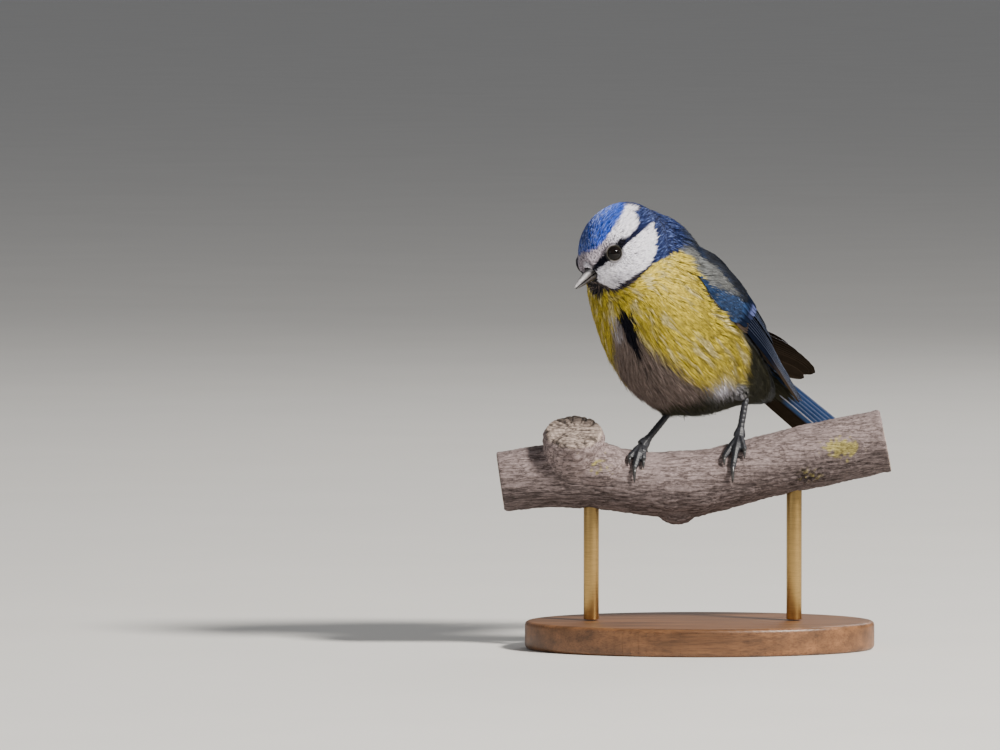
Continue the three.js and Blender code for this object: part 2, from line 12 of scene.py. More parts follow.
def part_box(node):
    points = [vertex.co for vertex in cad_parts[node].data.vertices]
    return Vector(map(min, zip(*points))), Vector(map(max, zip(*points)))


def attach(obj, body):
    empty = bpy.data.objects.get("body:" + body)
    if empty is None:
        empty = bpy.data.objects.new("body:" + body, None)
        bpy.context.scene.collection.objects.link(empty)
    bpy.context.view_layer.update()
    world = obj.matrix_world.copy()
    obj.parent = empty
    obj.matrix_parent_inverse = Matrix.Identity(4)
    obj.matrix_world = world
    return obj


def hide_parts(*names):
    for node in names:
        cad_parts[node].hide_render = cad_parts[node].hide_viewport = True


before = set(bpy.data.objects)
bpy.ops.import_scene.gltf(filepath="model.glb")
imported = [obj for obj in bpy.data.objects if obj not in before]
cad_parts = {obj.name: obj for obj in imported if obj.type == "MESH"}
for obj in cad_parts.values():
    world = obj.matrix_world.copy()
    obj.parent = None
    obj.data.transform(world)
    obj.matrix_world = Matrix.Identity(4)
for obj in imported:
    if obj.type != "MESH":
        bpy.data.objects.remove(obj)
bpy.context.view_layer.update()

bl_info = {
    "name": "Blue Tit Model",
    "version": (1, 0, 0),
    "blender": (4, 5, 0),
    "location": "3D View > Sidebar > Blue Tit",
    "description": "Plumage, bill, eyes, feet, branch and stand of a life-size blue tit on a perch",
    "category": "Add Mesh",
}

MM = 0.001

# The bird's build, in millimetres, in the frames of its torso and head.

TORSO_POSE = {"centre": (-5.2, 3.0, 90.2), "turn": 45, "pitch": 37, "roll": 8}
HEAD_POSE = {"centre": (-23.6, -20.0, 114.9), "turn": 38, "pitch": -26, "roll": 14}
TORSO = [
    (-41, 3.4, 4.6, 1.4), (-36, 6.4, 7.4, 3.8), (-29, 10.4, 10.0, 8.4), (-20, 14.2, 12.6, 15.6),
    (-10, 17.4, 15.2, 21.2), (2, 19.2, 18.8, 22.6), (12, 18.6, 21.8, 20.0), (20, 16.8, 23.8, 15.8),
    (28, 13.8, 23.0, 11.4), (36, 9.8, 18.4, 6.8),
]
TORSO_RISE = [(-41, 5.2), (-30, 3.4), (-20, 1.4), (-8, 0), (36, 0)]
BACK_TAPER = 0.24
EYE_PLACE, EYE_RADIUS = (7.0, 7.6, 0.9), 2.35
BILL_ROOT = np.array([12.5, 0, -1.2])

WING_LOWER_EDGE = [
    (18, 13.8, 6.5), (9, 18.6, 1.2), (-5, 19.2, 0.6), (-19, 15.6, 3.2), (-33, 11.3, 5.2),
    (-51, 7.0, 6.0),
]
WING_UPPER_EDGE = [
    (19, 8.5, 15.5), (9, 7.0, 16.6), (-5, 6.2, 15.4), (-19, 5.6, 13.6), (-33, 4.6, 11.4),
    (-51, 3.6, 9.6),
]
WING_CAMBER = [(0, 2.0), (0.2, 3.0), (0.4, 3.0), (0.6, 2.0), (0.8, 1.0), (1, 0.3)]
WING_POSE = {
    "left": {"side": 1, "lift": 0, "inward": 0, "slide": 0},
    "right": {"side": -1, "lift": 12.5, "inward": 10, "slide": -8},
}
SHOULDER = (14, 13, 6)
# Place along the torso against the angle of the section at which the folded wing's lower edge lies.
WING_SECTION = [(-33, 24.7), (-19, 11.6), (-5, 1.8), (9, 3.7), (18, 25), (24, 40)]
STACK_RISE = 3.3
# Place along the wing against how far up it the blue coverts, and the grey-green feathers over them, reach.
COVERTS_TOP = [(0, 0.12), (0.07, 0.18), (0.17, 0.25), (0.25, 0.36), (0.3, 0.3)]
GREEN_TOP = [(0, 0.65), (0.14, 0.55), (0.22, 0.42), (0.25, 0.38), (0.3, 0.34)]

TAIL = {"root": (-27.5, -0.5, 10.2), "length": 50, "lift": 3, "swing": 4, "roll": -10, "fork": 2.4}

BRANCH = [
    (-57, 47.6, 8.6), (-46, 49.2, 8.9), (-36, 49.4, 9.2), (-26, 48.7, 9.1), (-17, 47.3, 9.2),
    (-8.6, 46.9, 9.6),
    (-2, 47.2, 9.6), (6, 48.7, 9.1), (18, 51.9, 9.0), (30, 54.6, 9.2), (42, 57.2, 9.2), (53, 59.5, 9.1),
]
KNOB = {"x": -36, "length": 15.6, "radius": 9.0, "lean": 30}
LEGS = {
    "left": {
        "heel": (13.2, 0.4, 71.8), "foot": (11.2, 10, 1.9),
        "toes": {
            "inner": (6.8, 50, 64), "middle": (9.2, 74, 99), "outer": (12.6, 46, 62),
            "hind": (11.6, -38, -66),
        },
    },
    "right": {
        "heel": (-9.0, 3.0, 66.9), "foot": (-16.4, 8, 1.9),
        "toes": {
            "inner": (-16.2, 44, 60), "middle": (-18.8, 62, 86), "outer": (-20.2, 42, 56),
            "hind": (-15.4, -40, -68),
        },
    },
}
FLESH_NODES = ["torso", "neck", "head", "thigh_left", "thigh_right"]


def from_screen(colour):
    """Linear light of a colour given as it looks on a screen, 0 to 255."""
    c = np.array(colour, float) / 255
    return np.where(c <= 0.04045, c / 12.92, ((c + 0.055) / 1.055) ** 2.4)


# Settings


def colour_setting(name, description, colour):
    return FloatVectorProperty(
        name=name, description=description, subtype="COLOR", size=3, min=0, max=1,
        default=tuple(float(v) for v in from_screen(colour)),
    )


def length_setting(name, description, millimetres, low=0.0, high=200.0):
    return FloatProperty(
        name=name, description=description, subtype="DISTANCE", unit="LENGTH",
        default=millimetres * MM, min=low * MM, max=high * MM, precision=5,
    )


def count_setting(name, description, number, low, high):
    return IntProperty(name=name, description=description, default=number, min=low, max=high)


PLUMAGE_COLOURS = (
    "cap", "cap_tip", "white", "forehead", "navy", "navy_tip", "bib", "yellow", "lit_yellow",
    "pale_yellow", "olive", "shaded_belly", "mantle", "shaded_slate", "shaded_vent",
)


class BLUETIT_PG_plumage(bpy.types.PropertyGroup):
    """Sizes and colours of the small feathers."""

    skin_depth: length_setting("Coat depth", "How far the skin lies inside the coat's outline", 1.1, 0.2, 3)
    face_depth: length_setting("Face coat depth", "Depth of the coat round eyes and bill", 0.35, 0.1, 1)
    skin_detail: length_setting("Skin detail", "Edge length of the skin's faces", 0.9, 0.4, 2)
    cap: colour_setting("Cap", "Cobalt blue of the crown", (34, 78, 190))
    cap_tip: colour_setting("Cap tips", "Pale tips of the crown feathers", (188, 204, 255))
    white: colour_setting("White", "Brow band and cheek", (246, 243, 255))
    forehead: colour_setting("Forehead", "Greyish white above the bill", (198, 188, 198))
    navy: colour_setting("Navy", "Eye stripe, collar and nape", (26, 36, 78))
    navy_tip: colour_setting("Navy tips", "Paler streaks of the nape", (98, 116, 172))
    bib: colour_setting("Bib", "Chin, throat and belly stripe", (20, 20, 30))
    yellow: colour_setting("Yellow", "Breast and flanks", (206, 186, 66))
    # Painted light on the upper breast.
    lit_yellow: colour_setting("Bright yellow", "Upper breast", (238, 214, 98))
    pale_yellow: colour_setting("Pale yellow", "Pale loose feathers on the breast", (222, 209, 152))
    olive: colour_setting("Olive", "Darker streaks on the breast", (106, 92, 34))
    # Darker than the belly's own grey-white, as painted shade.
    shaded_belly: colour_setting("Belly", "Brownish grey-white of the belly", (126, 112, 106))
    mantle: colour_setting("Mantle", "Grey-green of the upper back", (124, 126, 126))
    # Partly the back's own darker tone, partly painted shade on the side of the back turned from the light.
    shaded_slate: colour_setting("Slate", "Dark slate of the back", (32, 39, 56))
    # Dull olive of the rear flanks, partly painted shade under the wing.
    shaded_vent: colour_setting("Vent", "Dull olive of the rear flanks", (54, 53, 40))


class BLUETIT_PG_feathers(bpy.types.PropertyGroup):
    """Sizes and colours of the wings and the tail."""

    vane_thickness: length_setting("Vane thickness", "Thickness of a feather's vane", 0.12, 0.03, 0.5)
    primaries: count_setting("Primaries", "Primary feathers of each wing", 9, 3, 10)
    secondaries: count_setting("Secondaries", "Secondary feathers of each wing", 6, 2, 9)
    tail_feathers: count_setting("Tail feathers", "Tail feathers on each side", 6, 3, 6)
    flight_dark: colour_setting("Flight feather", "Dark inner webs", (12, 16, 28))
    flight_edge: colour_setting("Flight edge", "Blue outer edges", (84, 104, 142))
    covert_blue: colour_setting("Coverts", "Blue of the wing coverts", (48, 70, 108))
    wing_bar: colour_setting("Wing bar", "White tips of the greater coverts", (206, 210, 226))
    tail_blue: colour_setting("Tail", "Blue of the tail feathers", (74, 104, 154))
    underside: colour_setting("Underside", "Brown-grey of the undersides", (64, 54, 44))


class BLUETIT_PG_perch(bpy.types.PropertyGroup):
    """Sizes and colours of the branch, the stand and the hard parts."""

    bark_detail: length_setting("Bark detail", "Edge length of the branch's faces", 0.42, 0.3, 2)
    bark: colour_setting("Bark", "Grey-brown of the bark", (152, 136, 134))
    bark_dark: colour_setting("Bark furrows", "Darker bark in the furrows", (52, 42, 40))
    lichen: colour_setting("Lichen", "Yellow-green lichen", (170, 158, 96))
    cut_wood: colour_setting("Cut wood", "Weathered wood of the cut faces", (190, 172, 160))
    leg: colour_setting("Leg", "Blue-grey of the legs and toes", (47, 48, 54))
    stand_wood: colour_setting("Stand wood", "Oiled wood of the stand", (122, 84, 54))
    brass: colour_setting("Brass", "Brass of the rods", (190, 156, 98))
    floor: colour_setting("Floor", "Pale floor", (226, 224, 220))


# Curves and frames


def pose_axes(pose):
    """Forward, left and up the back, as the columns of a matrix."""
    turn, pitch, roll = (math.radians(pose[k]) for k in ("turn", "pitch", "roll"))
    forward = Vector((-math.cos(pitch) * math.cos(turn), -math.cos(pitch) * math.sin(turn), math.sin(pitch)))
    left = Vector((math.sin(turn), -math.cos(turn), 0))
    left.rotate(Quaternion(forward, roll))
    return np.array([forward, left, forward.cross(left)]).T


TORSO_AXES, HEAD_AXES = pose_axes(TORSO_POSE), pose_axes(HEAD_POSE)
TORSO_CENTRE, HEAD_CENTRE = np.array(TORSO_POSE["centre"]), np.array(HEAD_POSE["centre"])


def in_torso(points):
    return (points - TORSO_CENTRE) @ TORSO_AXES


def in_head(points):
    return (points - HEAD_CENTRE) @ HEAD_AXES


def torso_to_world(points):
    return points @ TORSO_AXES.T + TORSO_CENTRE


def head_to_world(points):
    return points @ HEAD_AXES.T + HEAD_CENTRE


def smoothstep(x, low, high):
    s = np.clip((x - low) / (high - low), 0, 1)
    return s * s * (3 - 2 * s)


def mix(a, b, share):
    """From one number to another, also for each item of an array."""
    return a + (b - a) * share


def tint(a, b, share):
    """From one colour or direction to another, by a share for each point."""
    return a + (b - a) * np.asarray(share, float)[..., None]


def unit(v):
    return v / np.maximum(np.linalg.norm(v, axis=-1, keepdims=True), 1e-12)


def along_curve(points, t):
    """Points on a smooth curve through the given ones, at shares 0 to 1 of its spans."""
    p = np.array(points, float)
    t = np.asarray(t, float)
    ends = np.vstack([2 * p[0] - p[1], p, 2 * p[-1] - p[-2]])
    where = np.clip(t, 0, 1) * (len(p) - 1)
    i = np.minimum(where.astype(int), len(p) - 2)
    w = (where - i)[..., None]
    p0, p1, p2, p3 = ends[i], ends[i + 1], ends[i + 2], ends[i + 3]
    spans = ((p0, p1), (p1, p2), (p2, p3))
    d0, d1, d2 = (np.linalg.norm(b - a, axis=-1, keepdims=True) ** 0.5 for a, b in spans)
    t1 = ((p1 - p0) / d0 - (p2 - p0) / (d0 + d1) + (p2 - p1) / d1) * d1
    t2 = ((p2 - p1) / d1 - (p3 - p1) / (d1 + d2) + (p3 - p2) / d2) * d1
    return p1 + t1 * w + (-3 * p1 + 3 * p2 - 2 * t1 - t2) * w**2 + (2 * p1 - 2 * p2 + t1 + t2) * w**3


def sizes_along(stations, x):
    """Named sizes along x, joined by smooth curves."""
    table = np.array(stations, float)
    places, sizes = table[:, 0], table[:, 1:]
    x = np.clip(np.asarray(x, float), places[0], places[-1])
    i = np.clip(np.searchsorted(places, x, side="right") - 1, 0, len(places) - 2)
    before = np.concatenate([[2 * places[0] - places[1]], places, [2 * places[-1] - places[-2]]])
    sizes = np.vstack([sizes[1], sizes, sizes[-2]])
    t0, t1, tb, ta = before[i + 1], before[i + 2], before[i], before[i + 3]
    wp, wn = ((t1 - t0) / 2 / (t0 - tb))[..., None], ((t1 - t0) / 2 / (ta - t1))[..., None]
    p = ((x - t0) / (t1 - t0))[..., None]
    return (
        (-wp * p**3 + 2 * wp * p**2 - wp * p) * sizes[i]
        + ((1 + wp) * p**3 + (-1.5 - 2 * wp) * p**2 + (-0.5 + wp) * p + 1) * sizes[i + 1]
        + ((-1 - wn) * p**3 + (1.5 + wn) * p**2 + 0.5 * p) * sizes[i + 2]
        + (wn * p**3 - wn * p**2) * sizes[i + 3]
    )


def noise_at(points, scale, seed=0):
    """Smooth noise, about -1 to 1, at points in millimetres with lumps of the given size."""
    shift = Vector((seed * 17.3, seed * 5.1, seed * 9.7))
    values = [noise.noise(Vector(p) / scale + shift) for p in points.reshape(-1, 3)]
    return np.array(values).reshape(points.shape[:-1])


def turn_about(axis, angle):
    """Matrix of a turn about the axis x, y or z, in radians."""
    a, b = {"x": (1, 2), "y": (2, 0), "z": (0, 1)}[axis]
    matrix = np.eye(3)
    matrix[a, a] = matrix[b, b] = math.cos(angle)
    matrix[b, a], matrix[a, b] = math.sin(angle), -math.sin(angle)
    return matrix


# Meshes from arrays


def deselect():
    bpy.ops.object.select_all(action="DESELECT")


def choose(piece):
    deselect()
    piece.select_set(True)
    bpy.context.view_layer.objects.active = piece


def mesh_piece(name, points, triangles, colours=None, uv=None):
    """A piece from points in millimetres, triangles, linear colours and UVs per point."""
    mesh = bpy.data.meshes.new(name)
    triangles = np.ascontiguousarray(triangles, dtype=np.int32)
    mesh.vertices.add(len(points))
    mesh.vertices.foreach_set("co", (np.asarray(points) * MM).astype(np.float32).ravel())
    mesh.loops.add(triangles.size)
    mesh.loops.foreach_set("vertex_index", triangles.ravel())
    mesh.polygons.add(len(triangles))
    mesh.polygons.foreach_set("loop_start", np.arange(0, triangles.size, 3, dtype=np.int32))
    mesh.polygons.foreach_set("use_smooth", np.full(len(triangles), True))
    mesh.update(calc_edges=True)
    if colours is not None:
        paint(mesh, colours)
    if uv is not None:
        layer = mesh.uv_layers.new(name="OFBake")
        layer.data.foreach_set("uv", np.asarray(uv)[triangles.ravel()].astype(np.float32).ravel())
    piece = bpy.data.objects.new(name, mesh)
    bpy.context.scene.collection.objects.link(piece)
    return piece


def paint(mesh, colours):
    """Stores a linear colour at each point."""
    attribute = mesh.color_attributes.get("Colour")
    if attribute is None:
        attribute = mesh.color_attributes.new("Colour", "FLOAT_COLOR", "POINT")
    full = np.ones((len(mesh.vertices), 4), np.float32)
    full[:, :3] = np.clip(colours, 0, 1)
    attribute.data.foreach_set("color", full.ravel())


def points_of(mesh):
    co = np.zeros(len(mesh.vertices) * 3, np.float32)
    mesh.vertices.foreach_get("co", co)
    return co.reshape(-1, 3).astype(float) / MM


def normals_of(mesh):
    vn = np.zeros(len(mesh.vertices) * 3, np.float32)
    mesh.vertices.foreach_get("normal", vn)
    return vn.reshape(-1, 3).astype(float)


def move_points(mesh, points):
    mesh.vertices.foreach_set("co", (points * MM).astype(np.float32).ravel())
    mesh.update()


def apply_modifier(piece, kind, name, **settings):
    choose(piece)
    modifier = piece.modifiers.new(name, kind)
    for key, value in settings.items():
        setattr(modifier, key, value)
    bpy.ops.object.modifier_apply(modifier=modifier.name)


def fused_copy(nodes, name, voxel, swell, smooth_rounds, smooth_factor=0.5):
    """One smooth closed body from copies of CAD nodes, whose thin gaps are closed by swelling them first."""
    copies = []
    for node in nodes:
        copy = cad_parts[node].copy()
        copy.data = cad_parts[node].data.copy()
        copy.parent = None
        for key in list(copy.keys()):
            del copy[key]
        copy.hide_render = copy.hide_viewport = False
        bpy.context.scene.collection.objects.link(copy)
        copies.append(copy)
    for copy in copies:
        choose(copy)
        bpy.ops.object.mode_set(mode="EDIT")
        bpy.ops.mesh.select_all(action="SELECT")
        bpy.ops.mesh.remove_doubles(threshold=2e-6)
        bpy.ops.object.mode_set(mode="OBJECT")
        if swell:
            apply_modifier(copy, "DISPLACE", "Swell", strength=swell * MM, mid_level=0)
    deselect()
    for copy in copies:
        copy.select_set(True)
    bpy.context.view_layer.objects.active = copies[0]
    if len(copies) > 1:
        bpy.ops.object.join()
    body = bpy.context.view_layer.objects.active
    body.name = body.data.name = name
    apply_modifier(body, "REMESH", "Fuse", mode="VOXEL", voxel_size=voxel * MM, use_smooth_shade=True)
    if smooth_rounds:
        apply_modifier(body, "SMOOTH", "Settle", factor=smooth_factor, iterations=smooth_rounds)
    body.data.materials.clear()
    return body


def largest_shell(piece):
    """Drops loose scraps and keeps the largest closed surface."""
    bm = bmesh.new()
    bm.from_mesh(piece.data)
    seen, best = set(), []
    for start in bm.verts:
        if start in seen:
            continue
        shell, queue = [], [start]
        seen.add(start)
        while queue:
            v = queue.pop()
            shell.append(v)
            for edge in v.link_edges:
                other = edge.other_vert(v)
                if other not in seen:
                    seen.add(other)
                    queue.append(other)
        if len(shell) > len(best):
            best = shell
    keep = set(best)
    bmesh.ops.delete(bm, geom=[v for v in bm.verts if v not in keep], context="VERTS")
    bm.to_mesh(piece.data)
    bm.free()


def tube(path, radii, sides, up=(0.0, 0.0, 1.0)):
    """Points and triangles of a closed round bar along a path, from its start to its end."""
    path = np.asarray(path, float)
    steps = len(path)
    forward = unit(np.gradient(path, axis=0))
    across = unit(np.cross(np.broadcast_to(np.array(up, float), forward.shape), forward))
    lift = np.cross(forward, across)
    turn = np.linspace(0, 2 * np.pi, sides, endpoint=False)
    radii = np.broadcast_to(np.asarray(radii, float), (steps,))
    ring = across[:, None] * np.cos(turn)[:, None] + lift[:, None] * np.sin(turn)[:, None]
    points = (path[:, None] + ring * radii[:, None, None]).reshape(-1, 3)
    points = np.vstack([points, path[0], path[-1]])
    tris = []
    for s in range(steps - 1):
        for k in range(sides):
            a, b = s * sides + k, s * sides + (k + 1) % sides
            c, d = a + sides, b + sides
            tris += [(a, b, d), (a, d, c)]
    start, end = steps * sides, steps * sides + 1
    for k in range(sides):
        tris.append((start, (k + 1) % sides, k))
        tris.append((end, (steps - 1) * sides + k, (steps - 1) * sides + (k + 1) % sides))
    return points, np.array(tris)


def join_arrays(parts):
    """Joins (points, triangles, ...) groups, whose further arrays run along the points."""
    points, triangles, offset = [], [], 0
    for part in parts:
        points.append(part[0])
        triangles.append(part[1] + offset)
        offset += len(part[0])
    extras = [np.concatenate([part[k] for part in parts]) for k in range(2, len(parts[0]))]
    return (np.concatenate(points), np.concatenate(triangles), *extras)


# Materials


class Recipe:
    """A material in the making: its nodes, its links and its shader."""

    def __init__(self, name):
        self.material = bpy.data.materials.new(name)
        self.material.use_nodes = True
        self.nodes, self.links = self.material.node_tree.nodes, self.material.node_tree.links
        self.nodes.clear()
        output = self.nodes.new("ShaderNodeOutputMaterial")
        self.shader = self.nodes.new("ShaderNodeBsdfPrincipled")
        self.links.new(self.shader.outputs["BSDF"], output.inputs["Surface"])

    def feed(self, value, socket):
        """Links an output to a socket, or sets the socket to a number or a colour."""
        if isinstance(value, bpy.types.NodeSocket):
            self.links.new(value, socket)
        elif hasattr(value, "__len__"):
            socket.default_value = (*value, 1)
        else:
            socket.default_value = value

    def surface(self, values):
        """Feeds the shader's sockets, by name."""
        for name, value in values.items():
            self.feed(value, self.shader.inputs[name])

    def place(self, scale):
        """Object coordinates turned to the given number of pattern units in a metre."""
        mapping = self.nodes.new("ShaderNodeMapping")
        mapping.inputs["Scale"].default_value = scale if hasattr(scale, "__len__") else (scale,) * 3
        self.links.new(self.nodes.new("ShaderNodeTexCoord").outputs["Object"], mapping.inputs["Vector"])
        return mapping.outputs["Vector"]

    def noise(self, scale, detail=4, roughness=0.55):
        texture = self.nodes.new("ShaderNodeTexNoise")
        texture.inputs["Scale"].default_value = 1
        texture.inputs["Detail"].default_value = detail
        texture.inputs["Roughness"].default_value = roughness
        self.links.new(self.place(scale), texture.inputs["Vector"])
        return texture.outputs["Fac"]

    def ramp(self, factor, *stops):
        """Colours by factor; each stop is its place and a colour or a grey."""
        node = self.nodes.new("ShaderNodeValToRGB")
        elements = node.color_ramp.elements
        while len(elements) < len(stops):
            elements.new(0.5)
        for element, (place, colour) in zip(elements, stops):
            element.position = place
            element.color = (*(colour if hasattr(colour, "__len__") else (colour,) * 3), 1)
        self.links.new(factor, node.inputs["Fac"])
        return node.outputs["Color"]

    def multiplied(self, first, second, share=1.0):
        node = self.nodes.new("ShaderNodeMix")
        node.data_type, node.blend_type = "RGBA", "MULTIPLY"
        sockets = {socket.identifier: socket for socket in node.inputs}
        self.feed(share, sockets["Factor_Float"])
        self.feed(first, sockets["A_Color"])
        self.feed(second, sockets["B_Color"])
        return next(socket for socket in node.outputs if socket.identifier == "Result_Color")

    def remapped(self, factor, low, high):
        node = self.nodes.new("ShaderNodeMapRange")
        node.inputs["To Min"].default_value, node.inputs["To Max"].default_value = low, high
        self.links.new(factor, node.inputs["Value"])
        return node.outputs["Result"]

    def bump(self, height, strength, millimetres):
        node = self.nodes.new("ShaderNodeBump")
        node.inputs["Strength"].default_value = strength
        node.inputs["Distance"].default_value = millimetres * MM
        self.links.new(height, node.inputs["Height"])
        self.links.new(node.outputs["Normal"], self.shader.inputs["Normal"])

    def stored_colour(self):
        node = self.nodes.new("ShaderNodeAttribute")
        node.attribute_name = "Colour"
        return node.outputs["Color"]


def plumage_material(name, roughness=0.78, sheen=0.02):
    """Soft feather: the stored colour with a fine mottle, and a soft sheen."""
    recipe = Recipe(name)
    mottle = recipe.noise(1400, detail=3)
    shade = recipe.ramp(mottle, (0.3, 0.84), (0.7, 1.1))
    recipe.surface({
        "Base Color": recipe.multiplied(recipe.stored_colour(), shade),
        "Roughness": recipe.remapped(mottle, roughness - 0.08, roughness + 0.08),
        "Specular IOR Level": 0.03, "Sheen Weight": sheen, "Sheen Roughness": 0.5,
    })
    return recipe.material


def vane_material(name, roughness=0.6):
    """Flight feather: the stored colour with fine slanting barbs from the feather's own map."""
    recipe = Recipe(name)
    barbs = recipe.nodes.new("ShaderNodeTexWave")
    barbs.wave_type, barbs.bands_direction = "BANDS", "Y"
    barbs.inputs["Scale"].default_value = 1.3
    barbs.inputs["Distortion"].default_value = 1.2
    barbs.inputs["Detail"].default_value = 2
    vane_map = recipe.nodes.new("ShaderNodeUVMap")
    vane_map.uv_map = "Vane"
    recipe.links.new(vane_map.outputs["UV"], barbs.inputs["Vector"])
    streak = recipe.noise(500, detail=3)
    barbed = recipe.ramp(barbs.outputs["Fac"], (0.0, 0.8), (1.0, 1.08))
    streaked_shade = recipe.ramp(streak, (0.3, 0.75), (0.7, 1.15))
    colour = recipe.multiplied(recipe.stored_colour(), barbed, 0.8)
    recipe.surface({
        "Base Color": recipe.multiplied(colour, streaked_shade, 0.5),
        "Roughness": recipe.remapped(streak, roughness - 0.1, roughness + 0.1),
        "Specular IOR Level": 0.0,
    })
    recipe.bump(barbs.outputs["Fac"], 0.3, 0.05)
    return recipe.material


def finish_piece(piece, material, replaced=()):
    piece.data.materials.clear()
    piece.data.materials.append(material)
    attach(piece, "root")
    if replaced:
        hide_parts(*replaced)


# Markings of the skin and the coat

EYE_HEAD = np.array(EYE_PLACE)
# On the head: angle round from the bill, and angle above the level.
CAP_EDGE = [
    (0, 25), (12, 24), (26, 23), (41, 27.5), (56, 33.5), (80, 41), (106, 47.5), (133, 50), (180, 54),
]
STRIPE_LINE = [
    (0, -6), (17, -1.6), (28, 1.9), (46, 6), (63, 9.6), (75, 11.8), (86, 13), (99, 14.8), (110, 16.2),
    (119, 18), (130, 23), (180, 30),
]
STRIPE_HALF = [
    (0, 2.0), (17, 3.6), (30, 4.6), (46, 6.2), (60, 5.8), (73, 3.6), (86, 3.0), (100, 4.0), (113, 5.0),
    (122, 7.5), (132, 10), (180, 16),
]
CHEEK_LOW = [
    (0, -52), (44, -48.5), (72, -45), (92, -44), (106, -36), (114.4, -23.5), (119, -11), (122, 0),
    (125, 9), (128, 20), (134, 60), (180, 90),
]
# Height in the head against how far to the left the bib reaches.
BIB_EDGE = [(-12, -3.8), (-10, -2.6), (-7.6, -0.6), (-4.5, 0.9), (-2, 1.2)]
# On the body: angle of the section above the level against the place along the torso, or the reverse.
COLLAR_EDGE = [
    (-90, 31.9), (-60, 32.2), (-40, 33.0), (-20, 33.4), (0, 33.2), (10, 31.0), (27, 27.4), (35, 24.9),
    (40, 22.6), (50, 21.3), (60, 21.0), (90, 20.2),
]
YELLOW_TOP = [
    (-60, 34), (-33, 28), (-19.2, 18), (-11.4, 9), (-7.6, 6), (0.2, 2.3), (6.8, 1.5), (11.7, 10.4),
    (15.1, 21.3), (18.3, 30.2), (20.1, 37.9), (23, 41),
]
BELLY_EDGE = [
    (-60, -20), (-18, -35), (-11, -50), (-6, -54.7), (-1, -57), (5, -58.5), (9.5, -61), (14, -67),
    (18.4, -71), (22, -77), (25, -95),
]
REAR_EDGE = [
    (-90, -6), (-60, -8), (-50, -11), (-35, -15.5), (-18, -16.4), (-6, -13.4), (1, -9.6), (7, -6.0),
    (15, -3),
]


def along_table(table, x):
    return np.interp(x, [a for a, _ in table], [b for _, b in table])


def round_head(h):
    """Angle round from the bill and angle above the level, in degrees."""
    round_bill = np.arctan2(np.abs(h[:, 1]), h[:, 0])
    above_level = np.arctan2(h[:, 2], np.hypot(h[:, 0], h[:, 1]))
    return np.degrees(round_bill), np.degrees(above_level)


def eye_distance(h):
    return np.linalg.norm(np.stack([h[:, 0], np.abs(h[:, 1]), h[:, 2]], 1) - EYE_HEAD, axis=1)


def body_section(t):
    """Angle of a place in the torso's section above the level, in degrees, the same on both sides."""
    return np.degrees(np.arctan2(t[:, 2], np.abs(t[:, 1])))


def body_markings(t, section, grain, fray, colour):
    """Colour of breast, belly and back at places in the torso's frame."""
    under = smoothstep(along_table(YELLOW_TOP, t[:, 0]) - section + fray, -2.5, 2.5)
    body = np.broadcast_to(colour["yellow"], t.shape)
    # Painted light: the upper front of the breast is painted brighter.
    lit_upper_breast = smoothstep(t[:, 0], 8, 26) * smoothstep(section, -50, -5)
    body = tint(body, colour["lit_yellow"], lit_upper_breast * 0.7)
    low = smoothstep(along_table(BELLY_EDGE, t[:, 0]) - section + fray * 2.5, -5, 7)
    # The belly colour holds painted shade: it is darker than the belly's own grey-white.
    body = tint(body, colour["shaded_belly"], low)
    # Rear flanks and vent: partly their own duller olive, partly painted shade under the wing.
    rear = smoothstep(along_table(REAR_EDGE, section) - t[:, 0] + fray * 0.6, -1.5, 2.5)
    body = tint(body, colour["shaded_vent"], rear)
    stripe_centre = np.interp(t[:, 0], [12, 20, 24], [2.6, 2.4, 2.2])
    stripe_half = np.interp(t[:, 0], [9, 12, 16, 20, 23.7, 26.5], [0, 0.5, 1.3, 2.1, 2.5, 0])
    from_stripe = np.abs(t[:, 1] - stripe_centre)
    stripe = smoothstep(stripe_half - from_stripe + fray * 0.45, -0.4, 0.5) * (t[:, 2] < 0)
    body = tint(body, colour["bib"], stripe)
    fringe = smoothstep(2.4 - np.abs(t[:, 1] + 2.0), 0, 1.5) * smoothstep(t[:, 0], 17, 20)
    fringe = fringe * (1 - smoothstep(t[:, 0], 24, 26))
    fringe = fringe * (t[:, 2] < 0) * np.clip(0.5 + grain, 0, 1) * (1 - stripe)
    body = tint(body, colour["white"] * 0.75, fringe)
    tuft = np.exp(-(((t - np.array([-14, 12.2, -13.5])) / np.array([5.0, 2.6, 3.4])) ** 2).sum(1))
    body = tint(body, colour["white"] * 0.8, np.clip(tuft * 1.5, 0, 1))
    # Partly painted shade: beyond its ridge the back turns to dark slate.
    back = tint(colour["mantle"], colour["shaded_slate"], smoothstep(section + fray, 46, 56))
    rump = smoothstep(-t[:, 0], 16, 24)
    back = tint(back, colour["mantle"] * 0.55, rump)
    return tint(back, body, under)


